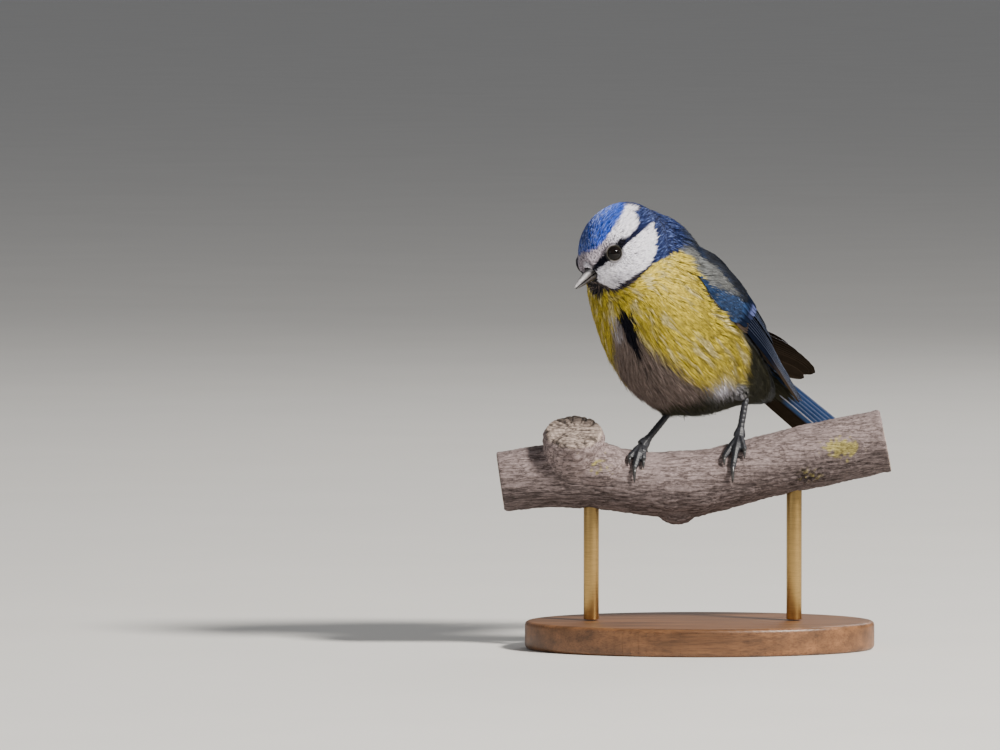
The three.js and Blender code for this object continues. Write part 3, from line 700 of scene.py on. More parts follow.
def head_markings(h, fray, colour):
    """Colour of the head at places in the head's frame."""
    az, el = round_head(h)
    head = tint(colour["navy"], colour["bib"] * 1.2, (1 - smoothstep(az, 80, 118)) * 0.75)
    cap_edge = along_table(CAP_EDGE, az)
    stripe_line, half = along_table(STRIPE_LINE, az), along_table(STRIPE_HALF, az)
    low_edge = stripe_line + half + 10 * smoothstep(az, 102, 122) - 11 * smoothstep(az, 124, 131)
    nape = smoothstep(az + fray * 2, 136, 150)
    band = smoothstep(el - low_edge + fray * 0.7, -1.6, 2.0) * (1 - nape * 0.95)
    forehead = (1 - smoothstep(az, 34, 70)) * smoothstep(cap_edge + 6 - el, -2, 8)
    pale = tint(colour["white"], colour["forehead"], forehead)
    head = tint(head, pale, band)
    # Painted shade: the white brow on the head's right side is darkened toward navy.
    far_side_shade = smoothstep(-h[:, 1] + fray * 0.5, 3.5, 6.0) * (1 - smoothstep(np.abs(el - 16), 8, 14))
    head = tint(head, colour["navy"], far_side_shade * 0.6 * (1 - smoothstep(az, 50, 70)))
    cap = smoothstep(el - cap_edge + fray * 1.4, -3.0, 3.6)
    cap_colour = tint(colour["cap"], colour["navy"] * 1.3, smoothstep(-h[:, 0] + fray, 6, 11) * 0.85)
    head = tint(head, cap_colour, cap)
    below_stripe = smoothstep(stripe_line - half - el + fray * 0.5, -1.0, 1.6)
    cheek = below_stripe * smoothstep(el - along_table(CHEEK_LOW, az) + fray, -1.5, 2.0)
    head = tint(head, colour["white"], cheek)
    bib_edge = along_table(BIB_EDGE, h[:, 2])
    bib = smoothstep(bib_edge - h[:, 1] + fray * 0.35, -0.3, 0.6) * smoothstep(-h[:, 2], 2.6, 4.0)
    bib = bib * (h[:, 0] > -3)
    head = tint(head, colour["bib"], bib)
    lore = 1 - smoothstep(np.linalg.norm(h - np.array([12.0, 0, 0.2]), axis=1), 2.6, 4.4)
    head = tint(head, colour["forehead"] * 0.6, lore * (el > 0) * 0.6)
    nostril = 1 - smoothstep(np.linalg.norm(h - np.array([13.0, 1.0, 0.9]), axis=1), 1.2, 1.9)
    head = tint(head, colour["white"], nostril * 0.9)
    aft, over = 4.6 - h[:, 0], h[:, 2] - 2.2 - 0.3 * (5.4 - h[:, 0])
    smudge = 1 - smoothstep(np.hypot(aft * 0.55, over) + fray * 0.2, 0.7, 1.5)
    head = tint(head, colour["bib"], smudge)
    before_eye = (az < 44) & (np.abs(el - stripe_line) < half)
    head = tint(head, colour["bib"] * 1.3, before_eye * 0.8)
    return head


def markings(points, grain, settings):
    """Colour of the plumage at points in millimetres; grain is noise that frays the edges."""
    colour = {key: np.array(getattr(settings, key)) for key in PLUMAGE_COLOURS}
    t = in_torso(points)
    section = body_section(t)
    fray = grain * 2.2
    body = body_markings(t, section, grain, fray, colour)
    head = head_markings(in_head(points), fray, colour)
    shift = 3.2 * smoothstep(-t[:, 1], 1, 6) * (section < 0)
    on_head = smoothstep(t[:, 0] - along_table(COLLAR_EDGE, section) + shift + fray * 0.28, -0.35, 0.45)
    return tint(body, head, on_head)


# Skin


def skin_depth(points, settings):
    """How far the skin lies inside the coat's outline."""
    h = in_head(points)
    bill_gap = np.linalg.norm(h - BILL_ROOT, axis=1)
    face = np.minimum(smoothstep(bill_gap, 2.5, 9), smoothstep(eye_distance(h), 2.6, 5.5))
    head = smoothstep(np.linalg.norm(h, axis=1), 13, 18)
    deep = settings.skin_depth / MM
    return mix(settings.face_depth / MM, mix(deep * 0.75, deep, head), face)


class BLUETIT_OT_skin(bpy.types.Operator):
    """One skin for head, neck, body and thighs, inside the outline by the coat's depth"""

    bl_idname = "bluetit.skin"
    bl_label = "Skin"

    def execute(self, context):
        settings = context.scene.bluetit_plumage
        skin = fused_copy(FLESH_NODES, "skin", settings.skin_detail / MM, 0.25, 4)
        largest_shell(skin)
        points, normals = points_of(skin.data), normals_of(skin.data)
        move_points(skin.data, points - normals * (skin_depth(points, settings) + 0.25)[:, None])
        apply_modifier(skin, "SMOOTH", "Settle", factor=0.5, iterations=2)
        choose(skin)
        bpy.ops.object.mode_set(mode="EDIT")
        bpy.ops.mesh.select_all(action="SELECT")
        bpy.ops.uv.smart_project(angle_limit=math.radians(66), island_margin=0.004)
        bpy.ops.object.mode_set(mode="OBJECT")
        skin.data.uv_layers.active.name = "OFBake"
        points = points_of(skin.data)
        # The markings are painted on the skin at 0.6 of their tone, as painted shade under the coat.
        paint(skin.data, markings(points, noise_at(points, 1.2), settings) * 0.6)
        finish_piece(skin, plumage_material("skin under plumage", 0.8, 0.1), FLESH_NODES)
        return {"FINISHED"}


# Coat


NEIGHBOURS = list(itertools.product((-1, 0, 1), repeat=3))


def skin_samples(skin, spacing_at, seed):
    """Roots spread evenly over the skin, with their place, normal and place on the skin's unwrap."""
    mesh = skin.data
    mesh.calc_loop_triangles()
    count = len(mesh.loop_triangles)
    corners, loops = np.zeros(count * 3, np.int32), np.zeros(count * 3, np.int32)
    mesh.loop_triangles.foreach_get("vertices", corners)
    mesh.loop_triangles.foreach_get("loops", loops)
    corners, loops = corners.reshape(-1, 3), loops.reshape(-1, 3)
    points, normals = points_of(mesh), normals_of(mesh)
    uv = np.zeros(len(mesh.loops) * 2, np.float32)
    mesh.uv_layers["OFBake"].data.foreach_get("uv", uv)
    uv = uv.reshape(-1, 2)
    a, b, c = (points[corners[:, k]] for k in range(3))
    area = np.linalg.norm(np.cross(b - a, c - a), axis=1) / 2
    centre_spacing = spacing_at((a + b + c) / 3)
    weight = area / centre_spacing**2
    random = np.random.default_rng(seed)
    tries = int(weight.sum() * 4.5)
    picked = random.choice(count, size=tries, p=weight / weight.sum())
    u, v = random.random(tries), random.random(tries)
    flip = u + v > 1
    u[flip], v[flip] = 1 - u[flip], 1 - v[flip]
    w = 1 - u - v
    shares = np.stack([w, u, v], 1)
    places = (points[corners[picked]] * shares[..., None]).sum(1)
    directions = unit((normals[corners[picked]] * shares[..., None]).sum(1))
    on_map = (uv[loops[picked]] * shares[..., None]).sum(1)
    spacing = spacing_at(places)
    cell = float(spacing.max())
    grid, kept = {}, []
    keys = np.floor(places / cell).astype(int)
    for i in range(tries):
        x, y, z = keys[i]
        p, gap = tuple(places[i]), spacing[i] ** 2
        near = (q for dx, dy, dz in NEIGHBOURS for q in grid.get((x + dx, y + dy, z + dz), ()))
        if all((q[0] - p[0]) ** 2 + (q[1] - p[1]) ** 2 + (q[2] - p[2]) ** 2 >= gap for q in near):
            grid.setdefault((x, y, z), []).append(p)
            kept.append(i)
    kept = np.array(kept)
    return places[kept], directions[kept], on_map[kept]


# A blade's triangles: three points round its root, three round its middle and one at its tip
BLADE = np.array([
    (0, 1, 4), (0, 4, 3), (1, 2, 5), (1, 5, 4), (2, 0, 3), (2, 3, 5), (3, 4, 6), (4, 5, 6), (5, 3, 6),
    (0, 2, 1),
])
BLADE_POINTS = 7


def grow_feathers(
    roots, normals, middles, tips, tip_normals, halves, rises, tones, on_map, seed, strands=5, per_strand=3,
    blade=(0.12, 0.08), bristle=0.12, contrast=(0.24, 0.06), ragged=0.09, shades=(0.45, 0.88, 1.08),
):
    """Small feathers, each a fan of thin closed blades that gather into strands and follow the surface.

    roots, middles and tips are places on the surface, and normals and tip_normals point out of it. tones
    is a colour for each feather, or a rule for the colours at the strands' places. blade is half the width
    and the height of a blade, contrast how far the strands' tones differ in dark and in light plumage,
    ragged how far their lengths differ, shades the tone at root, middle and tip.
    Returns points, triangles, colours and UVs.
    """
    random = np.random.default_rng(seed)
    count, barbs = len(roots), strands * per_strand

    def by_strand(scale):
        return np.repeat(random.normal(0, scale, (count, strands)), per_strand, axis=1)

    side = unit(np.cross(normals, middles - roots))[:, None]
    spread = np.linspace(-1, 1, barbs)[None] + random.normal(0, 0.4 / barbs, (count, barbs))
    aside = np.linspace(-0.8, 0.8, strands)[None] + random.normal(0, 0.16, (count, strands))
    gathered = np.repeat(aside, per_strand, axis=1)
    if callable(tones):
        seen = (middles * 0.5 + tips * 0.5)[:, None] + side * (aside * halves[:, None] * 0.9)[..., None]
        tones = np.repeat(tones(seen.reshape(-1, 3)).reshape(count, strands, 3), per_strand, axis=1)
    else:
        tones = np.repeat(tones[:, None], barbs, axis=1)
    reach = 1 - 0.2 * spread**2 + by_strand(ragged) + random.normal(0, 0.03, (count, barbs))
    reach = np.clip(reach, 0.45, 1.2)

    def place(share, over):
        """Points at a share along each blade, over the skin by the given height."""
        s = share[..., None]
        l0, l1, l2 = 2 * (s - 0.5) * (s - 1), 4 * s * (1 - s), 2 * s * (s - 0.5)
        on_skin = roots[:, None] * l0 + middles[:, None] * l1 + tips[:, None] * l2
        normal = unit(normals[:, None] * (1 - s) + tip_normals[:, None] * s)
        return on_skin + normal * over[..., None], normal

    jitter = by_strand(1.0) * np.reshape(bristle, (-1, 1))
    rises = rises[:, None]
    root_point, _ = place(np.zeros((count, barbs)), np.full((count, barbs), -0.12))
    mid_point, mid_normal = place(reach * 0.5, rises * 0.72 + jitter * 0.4 - 0.05 * spread**2)
    tip_point, _ = place(reach, rises + jitter - 0.15 * spread**2)
    half = halves[:, None, None]
    fan = spread[..., None]
    root_point = root_point + side * fan * half * 0.3
    mid_point = mid_point + side * (0.75 * fan + 0.1 * gathered[..., None]) * half
    tip_point = tip_point + side * (0.2 * fan + 0.75 * gathered[..., None]) * half
    wide = (blade[0] * (0.8 + 0.4 * random.random((count, barbs))))[..., None]
    height = normals[:, None] * blade[1]
    ring = [
        root_point - side * wide * 0.8, root_point + side * wide * 0.8, root_point + height,
        mid_point - side * wide, mid_point + side * wide, mid_point + mid_normal * blade[1],
        tip_point,
    ]
    points = np.stack(ring, axis=2).reshape(-1, 3)
    blades = count * barbs
    triangles = (BLADE[None] + (np.arange(blades) * BLADE_POINTS)[:, None, None]).reshape(-1, 3)
    contrasts = mix(contrast[0], contrast[1], smoothstep(tones.mean(2), 0.03, 0.5))
    uneven = by_strand(1.0) * contrasts + random.normal(0, 0.04, (count, barbs))
    tone = tones[:, :, None] * np.clip(1 + uneven, 0.35, 1.8)[..., None, None]
    # Darker toward the root: partly the feathers' own darker bases, partly painted shade deep in the coat.
    # Each blade's middle is lighter on its top edge than its sides, a painted highlight.
    shade = np.repeat(np.array(shades), (3, 3, 1)) * np.array([1, 1, 1, 0.96, 0.96, 1.04, 1])
    colours = (tone * shade[:, None]).reshape(-1, 3)
    u = on_map[:, 0][:, None, None] + fan * 0.0013 + np.array([-1, 1, 0, -1, 1, 0, 0]) * 0.00012
    v = on_map[:, 1][:, None, None] + np.array([-1, -1, -1, 0, 0, 0, 1]) * 0.0014 + 0 * fan
    uv = np.stack([u, v], -1).reshape(-1, 2)
    return points, triangles, colours, np.clip(uv, 0.0005, 0.9995)


def coat_pieces(name, material, arrays, limit=190000):
    """Puts a coat into pieces that each stay under the limit of triangles."""
    points, triangles, colours, uv = arrays
    blades = len(points) // BLADE_POINTS
    per_piece = limit // len(BLADE)
    parts = max(1, math.ceil(blades / per_piece))
    for k in range(parts):
        first, last = blades * k // parts, blades * (k + 1) // parts
        rows = slice(first * BLADE_POINTS, last * BLADE_POINTS)
        piece_name = name if parts == 1 else f"{name}_{k + 1}"
        faces = triangles[: (last - first) * len(BLADE)]
        piece = mesh_piece(piece_name, points[rows], faces, colours[rows], uv[rows])
        finish_piece(piece, material)


def skin_surface(skin):
    mesh = skin.data
    points = points_of(mesh)
    polygons = [tuple(p.vertices) for p in mesh.polygons]
    tree = BVHTree.FromPolygons([Vector(p) for p in points], polygons)

    def nearest(queries):
        places, normals = np.empty_like(queries), np.empty_like(queries)
        for i, q in enumerate(queries):
            place, normal, _, _ = tree.find_nearest(Vector(q))
            places[i], normals[i] = place, normal
        return places, normals

    return nearest


def laid_on(surface, roots, normals, flows, lengths):
    """Middle and tip of each feather on the surface, and the direction out of it at the tip."""
    forward = unit(flows - normals * (flows * normals).sum(1, keepdims=True))
    middles, _ = surface(roots + forward * (lengths * 0.5)[:, None])
    tips, directions = surface(middles + unit(middles - roots) * (lengths * 0.5)[:, None])
    return middles, tips, directions


def flow_at(points):
    """The lie of the coat: from the bill over the head, then down the body to the tail and the legs."""
    h, t = in_head(points), in_torso(points)
    off_head = smoothstep(np.linalg.norm(h - np.array([-1.0, 0, 0]), axis=1), 12.5, 17.5)
    off_head = np.maximum(off_head, smoothstep(32.5 - t[:, 0], 0, 5))
    head_flow = np.broadcast_to(-HEAD_AXES[:, 0], points.shape)
    flow = tint(head_flow, np.broadcast_to(-TORSO_AXES[:, 0], points.shape), off_head)
    # Feathers part round the eye.
    for side in (1, -1):
        away = points - head_to_world(EYE_HEAD * np.array([1, side, 1]))
        gap = np.linalg.norm(away, axis=1)
        flow = flow + unit(away) * (np.exp(-np.clip(gap - 2.5, 0, None) / 0.9) * 0.9)[:, None]
    # Bristles point forward over the nostrils.
    from_bill = np.linalg.norm(h - BILL_ROOT, axis=1)
    bristles = (1 - smoothstep(from_bill, 2.9, 3.6)) * smoothstep(h[:, 2], -0.9, 0.2)
    flow = flow + HEAD_AXES[:, 0] * (bristles * 2.4)[:, None]
    # Belly feathers hang a little, and trousers run down to the heel.
    sag = smoothstep(-t[:, 2], 6, 18) * smoothstep(-t[:, 0], -6, 12) * 0.45
    flow = unit(flow) + np.array([0, 0, -1.0]) * sag[:, None]
    for leg in LEGS.values():
        down = np.array(leg["heel"]) - points
        gap = np.linalg.norm(down, axis=1)
        flow = tint(flow, unit(down), (1 - smoothstep(gap, 3.5, 8)) * 0.8)
    return unit(flow)


def on_face(h):
    """1 round the eyes and the bill, 0 further back."""
    bill = np.linalg.norm(h - BILL_ROOT, axis=1)
    return 1 - np.minimum(smoothstep(bill, 3, 13), smoothstep(eye_distance(h), 3, 8))


def headness(points):
    h, t = in_head(points), in_torso(points)
    return (1 - smoothstep(np.linalg.norm(h, axis=1), 13.0, 16.5)) * smoothstep(t[:, 0], 27, 31)


def coat_spacing(points):
    return mix(0.92, mix(0.56, 0.40, on_face(in_head(points))), headness(points))


def streaked(places, settings, random):
    """The markings with streaks and flecks that vary them from strand to strand."""
    tones = markings(places, noise_at(places, 0.9, 1), settings)
    h, t = in_head(places), in_torso(places)
    az, el = round_head(h)
    drawn_out = np.stack([t[:, 0] / 8, t[:, 1], t[:, 2]], 1)
    fine, broad = noise_at(drawn_out, 0.42, 3), noise_at(drawn_out, 1.5, 4)
    yellowish = np.clip((tones[:, 1] - tones[:, 2] * 1.35) * 4, 0, 1)
    # Painted shade: olive streaks thicken on the right side of the lower breast, on top of the real dark
    # streaks.
    far = 0.35 * smoothstep(-t[:, 1], -3, 5) * (t[:, 2] < 0)
    dark_streak_and_shade = smoothstep(fine + broad * 0.5 + far, 0.0, 0.6) * 0.7
    tones = tint(tones, np.array(settings.olive), yellowish * dark_streak_and_shade)
    pale = smoothstep(broad - fine * 0.4, 0.1, 0.5) * 0.75
    tones = tint(tones, np.array(settings.pale_yellow), yellowish * pale)
    cap = np.array(settings.cap)
    bluish = np.exp(-((tones - cap) ** 2).sum(1) / 0.03) * (np.linalg.norm(h, axis=1) < 16)
    front = (1 - smoothstep(h[:, 1], 0, 6) * 0.75) * (1 - smoothstep(-h[:, 0], 0, 8) * 0.7)
    fleck = random.random(len(places)) ** 2 * front
    uneven = mix(1, 0.5 + 0.75 * random.random(len(places)), bluish)
    tones = tint(tones * uneven[:, None], np.array(settings.cap_tip), bluish * fleck)
    dark_blue = np.exp(-((tones - np.array(settings.navy)) ** 2).sum(1) / 0.004)
    dark_blue = dark_blue * (t[:, 0] > 19) * (az > 108)
    tones = tint(tones, np.array(settings.navy_tip), dark_blue * random.random(len(places)) ** 4)
    black = (tones.max(1) < 0.035) * (az < 70) * (el < -15) * (t[:, 0] > 27)
    tones = tint(tones, np.array(settings.shaded_belly), black * random.random(len(places)) ** 4)
    # Pale feathers low on the front of the head are greyed at random.
    greyed_below = smoothstep(-el, 18, 40) * (1 - smoothstep(az, 45, 85)) * (tones.min(1) > 0.3)
    tones = tones * (1 - 0.35 * greyed_below * random.random(len(places)))[:, None]
    return tones


class BLUETIT_OT_coat(bpy.types.Operator):
    """Small feathers over the whole skin, in fans of thin blades that follow the lie of the coat"""

    bl_idname = "bluetit.coat"
    bl_label = "Coat"

    def execute(self, context):
        settings = context.scene.bluetit_plumage
        skin = bpy.data.objects["skin"]
        surface = skin_surface(skin)
        roots, normals, on_map = skin_samples(skin, coat_spacing, 11)
        h, t = in_head(roots), in_torso(roots)
        section = body_section(t)
        inside_bill = (np.hypot(h[:, 1], h[:, 2] + 1.2) < 2.4) & (h[:, 0] > 9.0)
        wing_edge = along_table(WING_SECTION, t[:, 0])
        under_wing = (t[:, 1] > 0) & (t[:, 0] > -34) & (t[:, 0] < 10)
        under_wing &= (section > wing_edge + 12) & (section < 56)
        keep = ~(inside_bill | (eye_distance(h) < 2.6) | under_wing)
        roots, normals, on_map, h, t, section, wing_edge = (
            values[keep] for values in (roots, normals, on_map, h, t, section, wing_edge)
        )
        heads, face = headness(roots), on_face(h)
        random = np.random.default_rng(5)

        # Feathers drape over the lower edge of the left wing.
        drape = smoothstep(section - wing_edge, -22, -5) * (1 - smoothstep(section - wing_edge, 6, 12))
        drape *= (t[:, 1] > 0) * smoothstep(t[:, 0], 0, 8) * (1 - smoothstep(t[:, 0], 17, 22))
        shoulder = smoothstep(t[:, 0], 10, 15) * (1 - smoothstep(t[:, 0], 24, 29))
        shoulder *= smoothstep(section, 12, 30)
        flows = flow_at(roots) + TORSO_AXES[:, 2] * (drape * 0.45)[:, None]
        across = np.cross(normals, flows)
        flows = unit(flows + across * (noise_at(roots, 3.5, 15) * mix(0.4, 0.1, heads))[:, None])

        body_length = np.interp(t[:, 0], [-36, -20, 0, 25, 34], [7.0, 7.6, 6.8, 5.2, 3.8])
        lengths = mix(body_length, mix(2.9, 1.3, face), heads)
        for leg in LEGS.values():
            gap = np.linalg.norm(roots - np.array(leg["heel"]), axis=1)
            lengths = mix(lengths, 2.2, 1 - smoothstep(gap, 2, 7))
        lengths *= random.normal(1, 0.1, len(roots)).clip(0.75, 1.3)
        # Nothing reaches over the eye.
        ahead = eye_distance(h) - 2.45
        before_eye = (ahead < 3.0) & (h[:, 0] > EYE_HEAD[0] - 1.0)
        lengths = np.where(before_eye, np.minimum(lengths, np.maximum(0.7, ahead * 0.9)), lengths)
        halves = mix(0.95, mix(0.5, 0.32, face), heads)
        loose = smoothstep(-t[:, 2], 8, 18) * (1 - heads)
        rises = skin_depth(roots, settings) + mix(0.3, mix(0.05, -0.08, face), heads)
        rises = rises + 2.3 * drape + 1.3 * shoulder
        bristle = mix(mix(0.09, 0.5, loose), 0.05, heads)
        lengths = lengths + 1.2 * loose

        middles, tips, tip_normals = laid_on(surface, roots, normals, flows, lengths)

        def tones(places):
            return streaked(places, settings, random)

        material = plumage_material("plumage")
        on_head = heads > 0.5
        groups = [
            ("coat_head", "plumage_head", on_head, 4, 2, (0.09, 0.06), 0.12),
            ("coat_breast", "plumage_body", ~on_head & (section < 5), 8, 2, (0.1, 0.07), 0.17),
            ("coat_back", "plumage_body", ~on_head & (section >= 5), 7, 2, (0.11, 0.07), 0.12),
        ]
        for k, (name, slot, chosen, strands, per_strand, blade, ragged) in enumerate(groups):
            laid = (roots, normals, middles, tips, tip_normals, halves, rises)
            arrays = grow_feathers(
                *(array[chosen] for array in laid), tones, on_map[chosen], 20 + k, strands, per_strand,
                blade, bristle[chosen], ragged=ragged,
            )
            coat_pieces(name, material, arrays)
        return {"FINISHED"}


# Wings and tail


def wing_plate(along, up):
    """Places on the folded wing's plate: from wrist to wing tip, and from lower to upper edge."""
    along, up = np.broadcast_arrays(np.asarray(along, float), np.asarray(up, float))
    low, high = along_curve(WING_LOWER_EDGE, along), along_curve(WING_UPPER_EDGE, along)
    point = low + (high - low) * up[..., None]
    out = np.zeros_like(point)
    out[..., 1], out[..., 2] = high[..., 2] - low[..., 2], low[..., 1] - high[..., 1]
    camber = sizes_along(WING_CAMBER, np.clip(along, 0, 1))[..., 0]
    point = point + unit(out) * (camber * 4 * up * (1 - up))[..., None]
    width, height, depth = np.moveaxis(sizes_along(TORSO, point[..., 0]), -1, 0)
    above = point[..., 2] - sizes_along(TORSO_RISE, point[..., 0])[..., 0]
    level = np.clip(above / np.where(above > 0, height, depth), -1, 1)
    body = (width + 0.3) * np.sqrt(1 - level**2) * (1 - BACK_TAPER * np.clip(level, 0, None))
    point[..., 1] = np.where(point[..., 0] > TORSO[0][0], np.maximum(point[..., 1], body), point[..., 1])
    return point


def wing_outward(along, up):
    e = 0.02
    back = wing_plate(along + e, up) - wing_plate(np.maximum(0, along - e), up)
    rise = wing_plate(along, np.minimum(1, up + e)) - wing_plate(along, np.maximum(0, up - e))
    return unit(np.cross(back, rise))


def over_wing(along, up, lift, front=0.3):
    share = mix(front, 1, smoothstep(along, 0, 0.34))
    lift = np.where(lift > 0, lift * share, lift)
    return wing_plate(along, up) + wing_outward(along, up) * lift[..., None]


def wing_to_world(points, side):
    """From the left wing's own frame to the world, swung as that wing is."""
    pose = WING_POSE[side]
    lift, inward = math.radians(pose["lift"]), math.radians(pose["inward"])
    turn = turn_about("y", lift) @ turn_about("z", inward)
    pivot = np.array(SHOULDER, float)
    swung = (points - pivot) @ turn.T + pivot + np.array([pose["slide"], 0, 0])
    swung[..., 1] *= pose["side"]
    return torso_to_world(swung)


EDGES = np.array([-1, -0.9, -0.76, -0.45, -0.12, 0, 0.12, 0.45, 0.76, 0.9, 1.0])
MAP_COLUMNS = 24


def vane(
    centre, outward, half, steps, thickness, colour, cell, outer=1.0, inner=1.0, point=0.5, droop=0.06,
):
    """One feather's vane with its shaft, as a thin closed plate along a path.

    centre(t) and outward(t) give its line; outer and inner are the widths of its two webs, point how early
    its tip narrows; colour(t, edge, top) gives its colours. cell is its number and how many feathers share
    the map.
    Returns points, triangles, colours, bake map and vane map.
    """
    t = np.concatenate([np.linspace(0, 0.8, steps - 7), [0.85, 0.89, 0.925, 0.955, 0.975, 0.99, 1.0]])
    line, out = centre(t), outward(t)
    forward = unit(np.gradient(line, axis=0))
    across = unit(np.cross(out, forward))
    profile = 0.55 + 0.45 * smoothstep(t, 0, 0.35)
    rounding = np.clip((t - (1 - point * 0.3)) / (point * 0.3), 0, 1)
    profile = profile * np.sqrt(np.clip(1 - rounding**2.2, 0.0025, 1))
    edge = EDGES[None]
    web = np.where(edge < 0, outer, inner)
    sideways = edge * web * half * profile[:, None]
    thin = thickness * (1 - 0.6 * np.abs(edge)) / 2
    shaft = np.where(np.abs(edge) < 0.05, 0.16 * (1 - 0.7 * t)[:, None], 0)
    sag = -droop * (edge**2) * half * profile[:, None]
    spread = line[:, None] + across[:, None] * sideways[..., None]
    top = spread + out[:, None] * (sag + thin + shaft)[..., None]
    bottom = spread + out[:, None] * (sag - thin - shaft * 0.6)[..., None]
    rows, columns = top.shape[:2]
    points = np.concatenate([top.reshape(-1, 3), bottom.reshape(-1, 3)])
    n = rows * columns
    i, j = np.meshgrid(np.arange(rows - 1), np.arange(columns - 1), indexing="ij")
    a = (i * columns + j).ravel()
    b, c, d = a + 1, a + columns, a + columns + 1
    upper = np.concatenate([np.stack([a, d, b], 1), np.stack([a, c, d], 1)])
    lower = np.concatenate([np.stack([a, b, d], 1), np.stack([a, d, c], 1)]) + n
    rim = np.concatenate([
        np.arange(columns), np.arange(1, rows) * columns + columns - 1,
        (rows - 1) * columns + np.arange(columns - 2, -1, -1), np.arange(rows - 2, 0, -1) * columns,
    ])
    following = np.roll(rim, -1)
    walls = [np.stack([rim, following, following + n], 1), np.stack([rim, following + n, rim + n], 1)]
    triangles = np.concatenate([upper, lower, *walls])
    t_grid, e_grid = np.meshgrid(t, EDGES, indexing="ij")
    colours = np.concatenate([colour(t_grid, e_grid, top_side).reshape(-1, 3) for top_side in (True, False)])
    length = np.concatenate([[0], np.cumsum(np.linalg.norm(np.diff(line, axis=0), axis=1))])
    slant = length[:, None] - np.abs(sideways) * 0.9
    vane_map = np.stack([sideways, slant], -1).reshape(-1, 2)
    vane_map = np.concatenate([vane_map, vane_map])
    index, cells = cell
    map_rows = math.ceil(2 * cells / MAP_COLUMNS)
    bake = []
    for face in (0, 1):
        row, column = divmod(index * 2 + face, MAP_COLUMNS)
        u = (column + 0.08 + 0.84 * (e_grid + 1) / 2) / MAP_COLUMNS
        v = (row + 0.03 + 0.94 * t_grid) / map_rows
        bake.append(np.stack([u, v], -1).reshape(-1, 2))
    return points, triangles, colours, np.concatenate(bake), vane_map


def outward_facing(points, triangles):
    """Turns all the triangles round where the closed shape is inside out."""
    a, b, c = (points[triangles[:, k]] for k in range(3))
    volume = (np.cross(a, b) * c).sum()
    return triangles if volume > 0 else triangles[:, ::-1]


def feather_piece(name, parts, material, replaced=()):
    points, triangles, colours, bake, vane_map = join_arrays(parts)
    piece = mesh_piece(name, points, triangles, colours, bake)
    layer = piece.data.uv_layers.new(name="Vane")
    corners = np.ascontiguousarray(triangles).ravel()
    layer.data.foreach_set("uv", vane_map[corners].astype(np.float32).ravel())
    finish_piece(piece, material, replaced)
    return piece


def spread_between(pair, share):
    a, b = np.array(pair[0], float), np.array(pair[1], float)
    return a + (b - a) * share


def wing_feathers(settings):
    """Each feather of a wing as its root and tip on the plate, height, half width, share up its group and
    kind.
    """
    feathers, tier = [], 0
    primaries, secondaries = settings.primaries, settings.secondaries
    groups = [
        ("primary", primaries, [(0.24, 0.12), (0.12, 0.38)], [(0.92, 0.32), (0.84, 0.84)], 0.08, 2.2),
        ("secondary", secondaries, [(0.18, 0.36), (0.28, 0.66)], [(0.68, 0.66), (0.66, 0.9)], 0, 2.9),
        ("tertial", 3, [(0.26, 0.66), (0.28, 0.84)], [(0.62, 0.84), (0.5, 0.92)], 0, 3.2),
    ]
    total = primaries + secondaries + 3
    for kind, count, root, tip, peak, half in groups:
        for i in range(count):
            share = i / (count - 1)
            end = spread_between(tip, share)
            end[0] += peak * math.sin(math.pi * share) ** 0.8
            if kind == "primary" and i == 0:
                end = np.array([0.94, 0.12])
            rise = 0.7 + 3.3 * tier / (total - 1)
            feathers.append((kind, share, spread_between(root, share), end, rise, half))
            tier += 1
    coverts = [
        ("primary covert", 7, [(0.14, 0.04), (0.12, 0.14)], [(0.4, 0.04), (0.38, 0.2)], 1.0, 1.1),
        ("greater covert", 11, [(0.18, 0.1), (0.24, 0.9)], [(0.38, 0.1), (0.5, 0.92)], 1.35, 1.7),
        ("alula", 3, [(0.06, 0.04), (0.05, 0.12)], [(0.24, 0.01), (0.18, 0.14)], 1.7, 1.2),
    ]
    for kind, count, root, tip, rise, half in coverts:
        for i in range(count):
            share = i / (count - 1)
            end = spread_between(tip, share)
            over = rise + STACK_RISE * end[1] + 0.05 * i
            feathers.append((kind, share, spread_between(root, share), end, over, half))
    return feathers


# How much of the bar's red, green and blue shows where it lies in the shade of the back
LAVENDER = np.array([0.12, 0.14, 0.28])


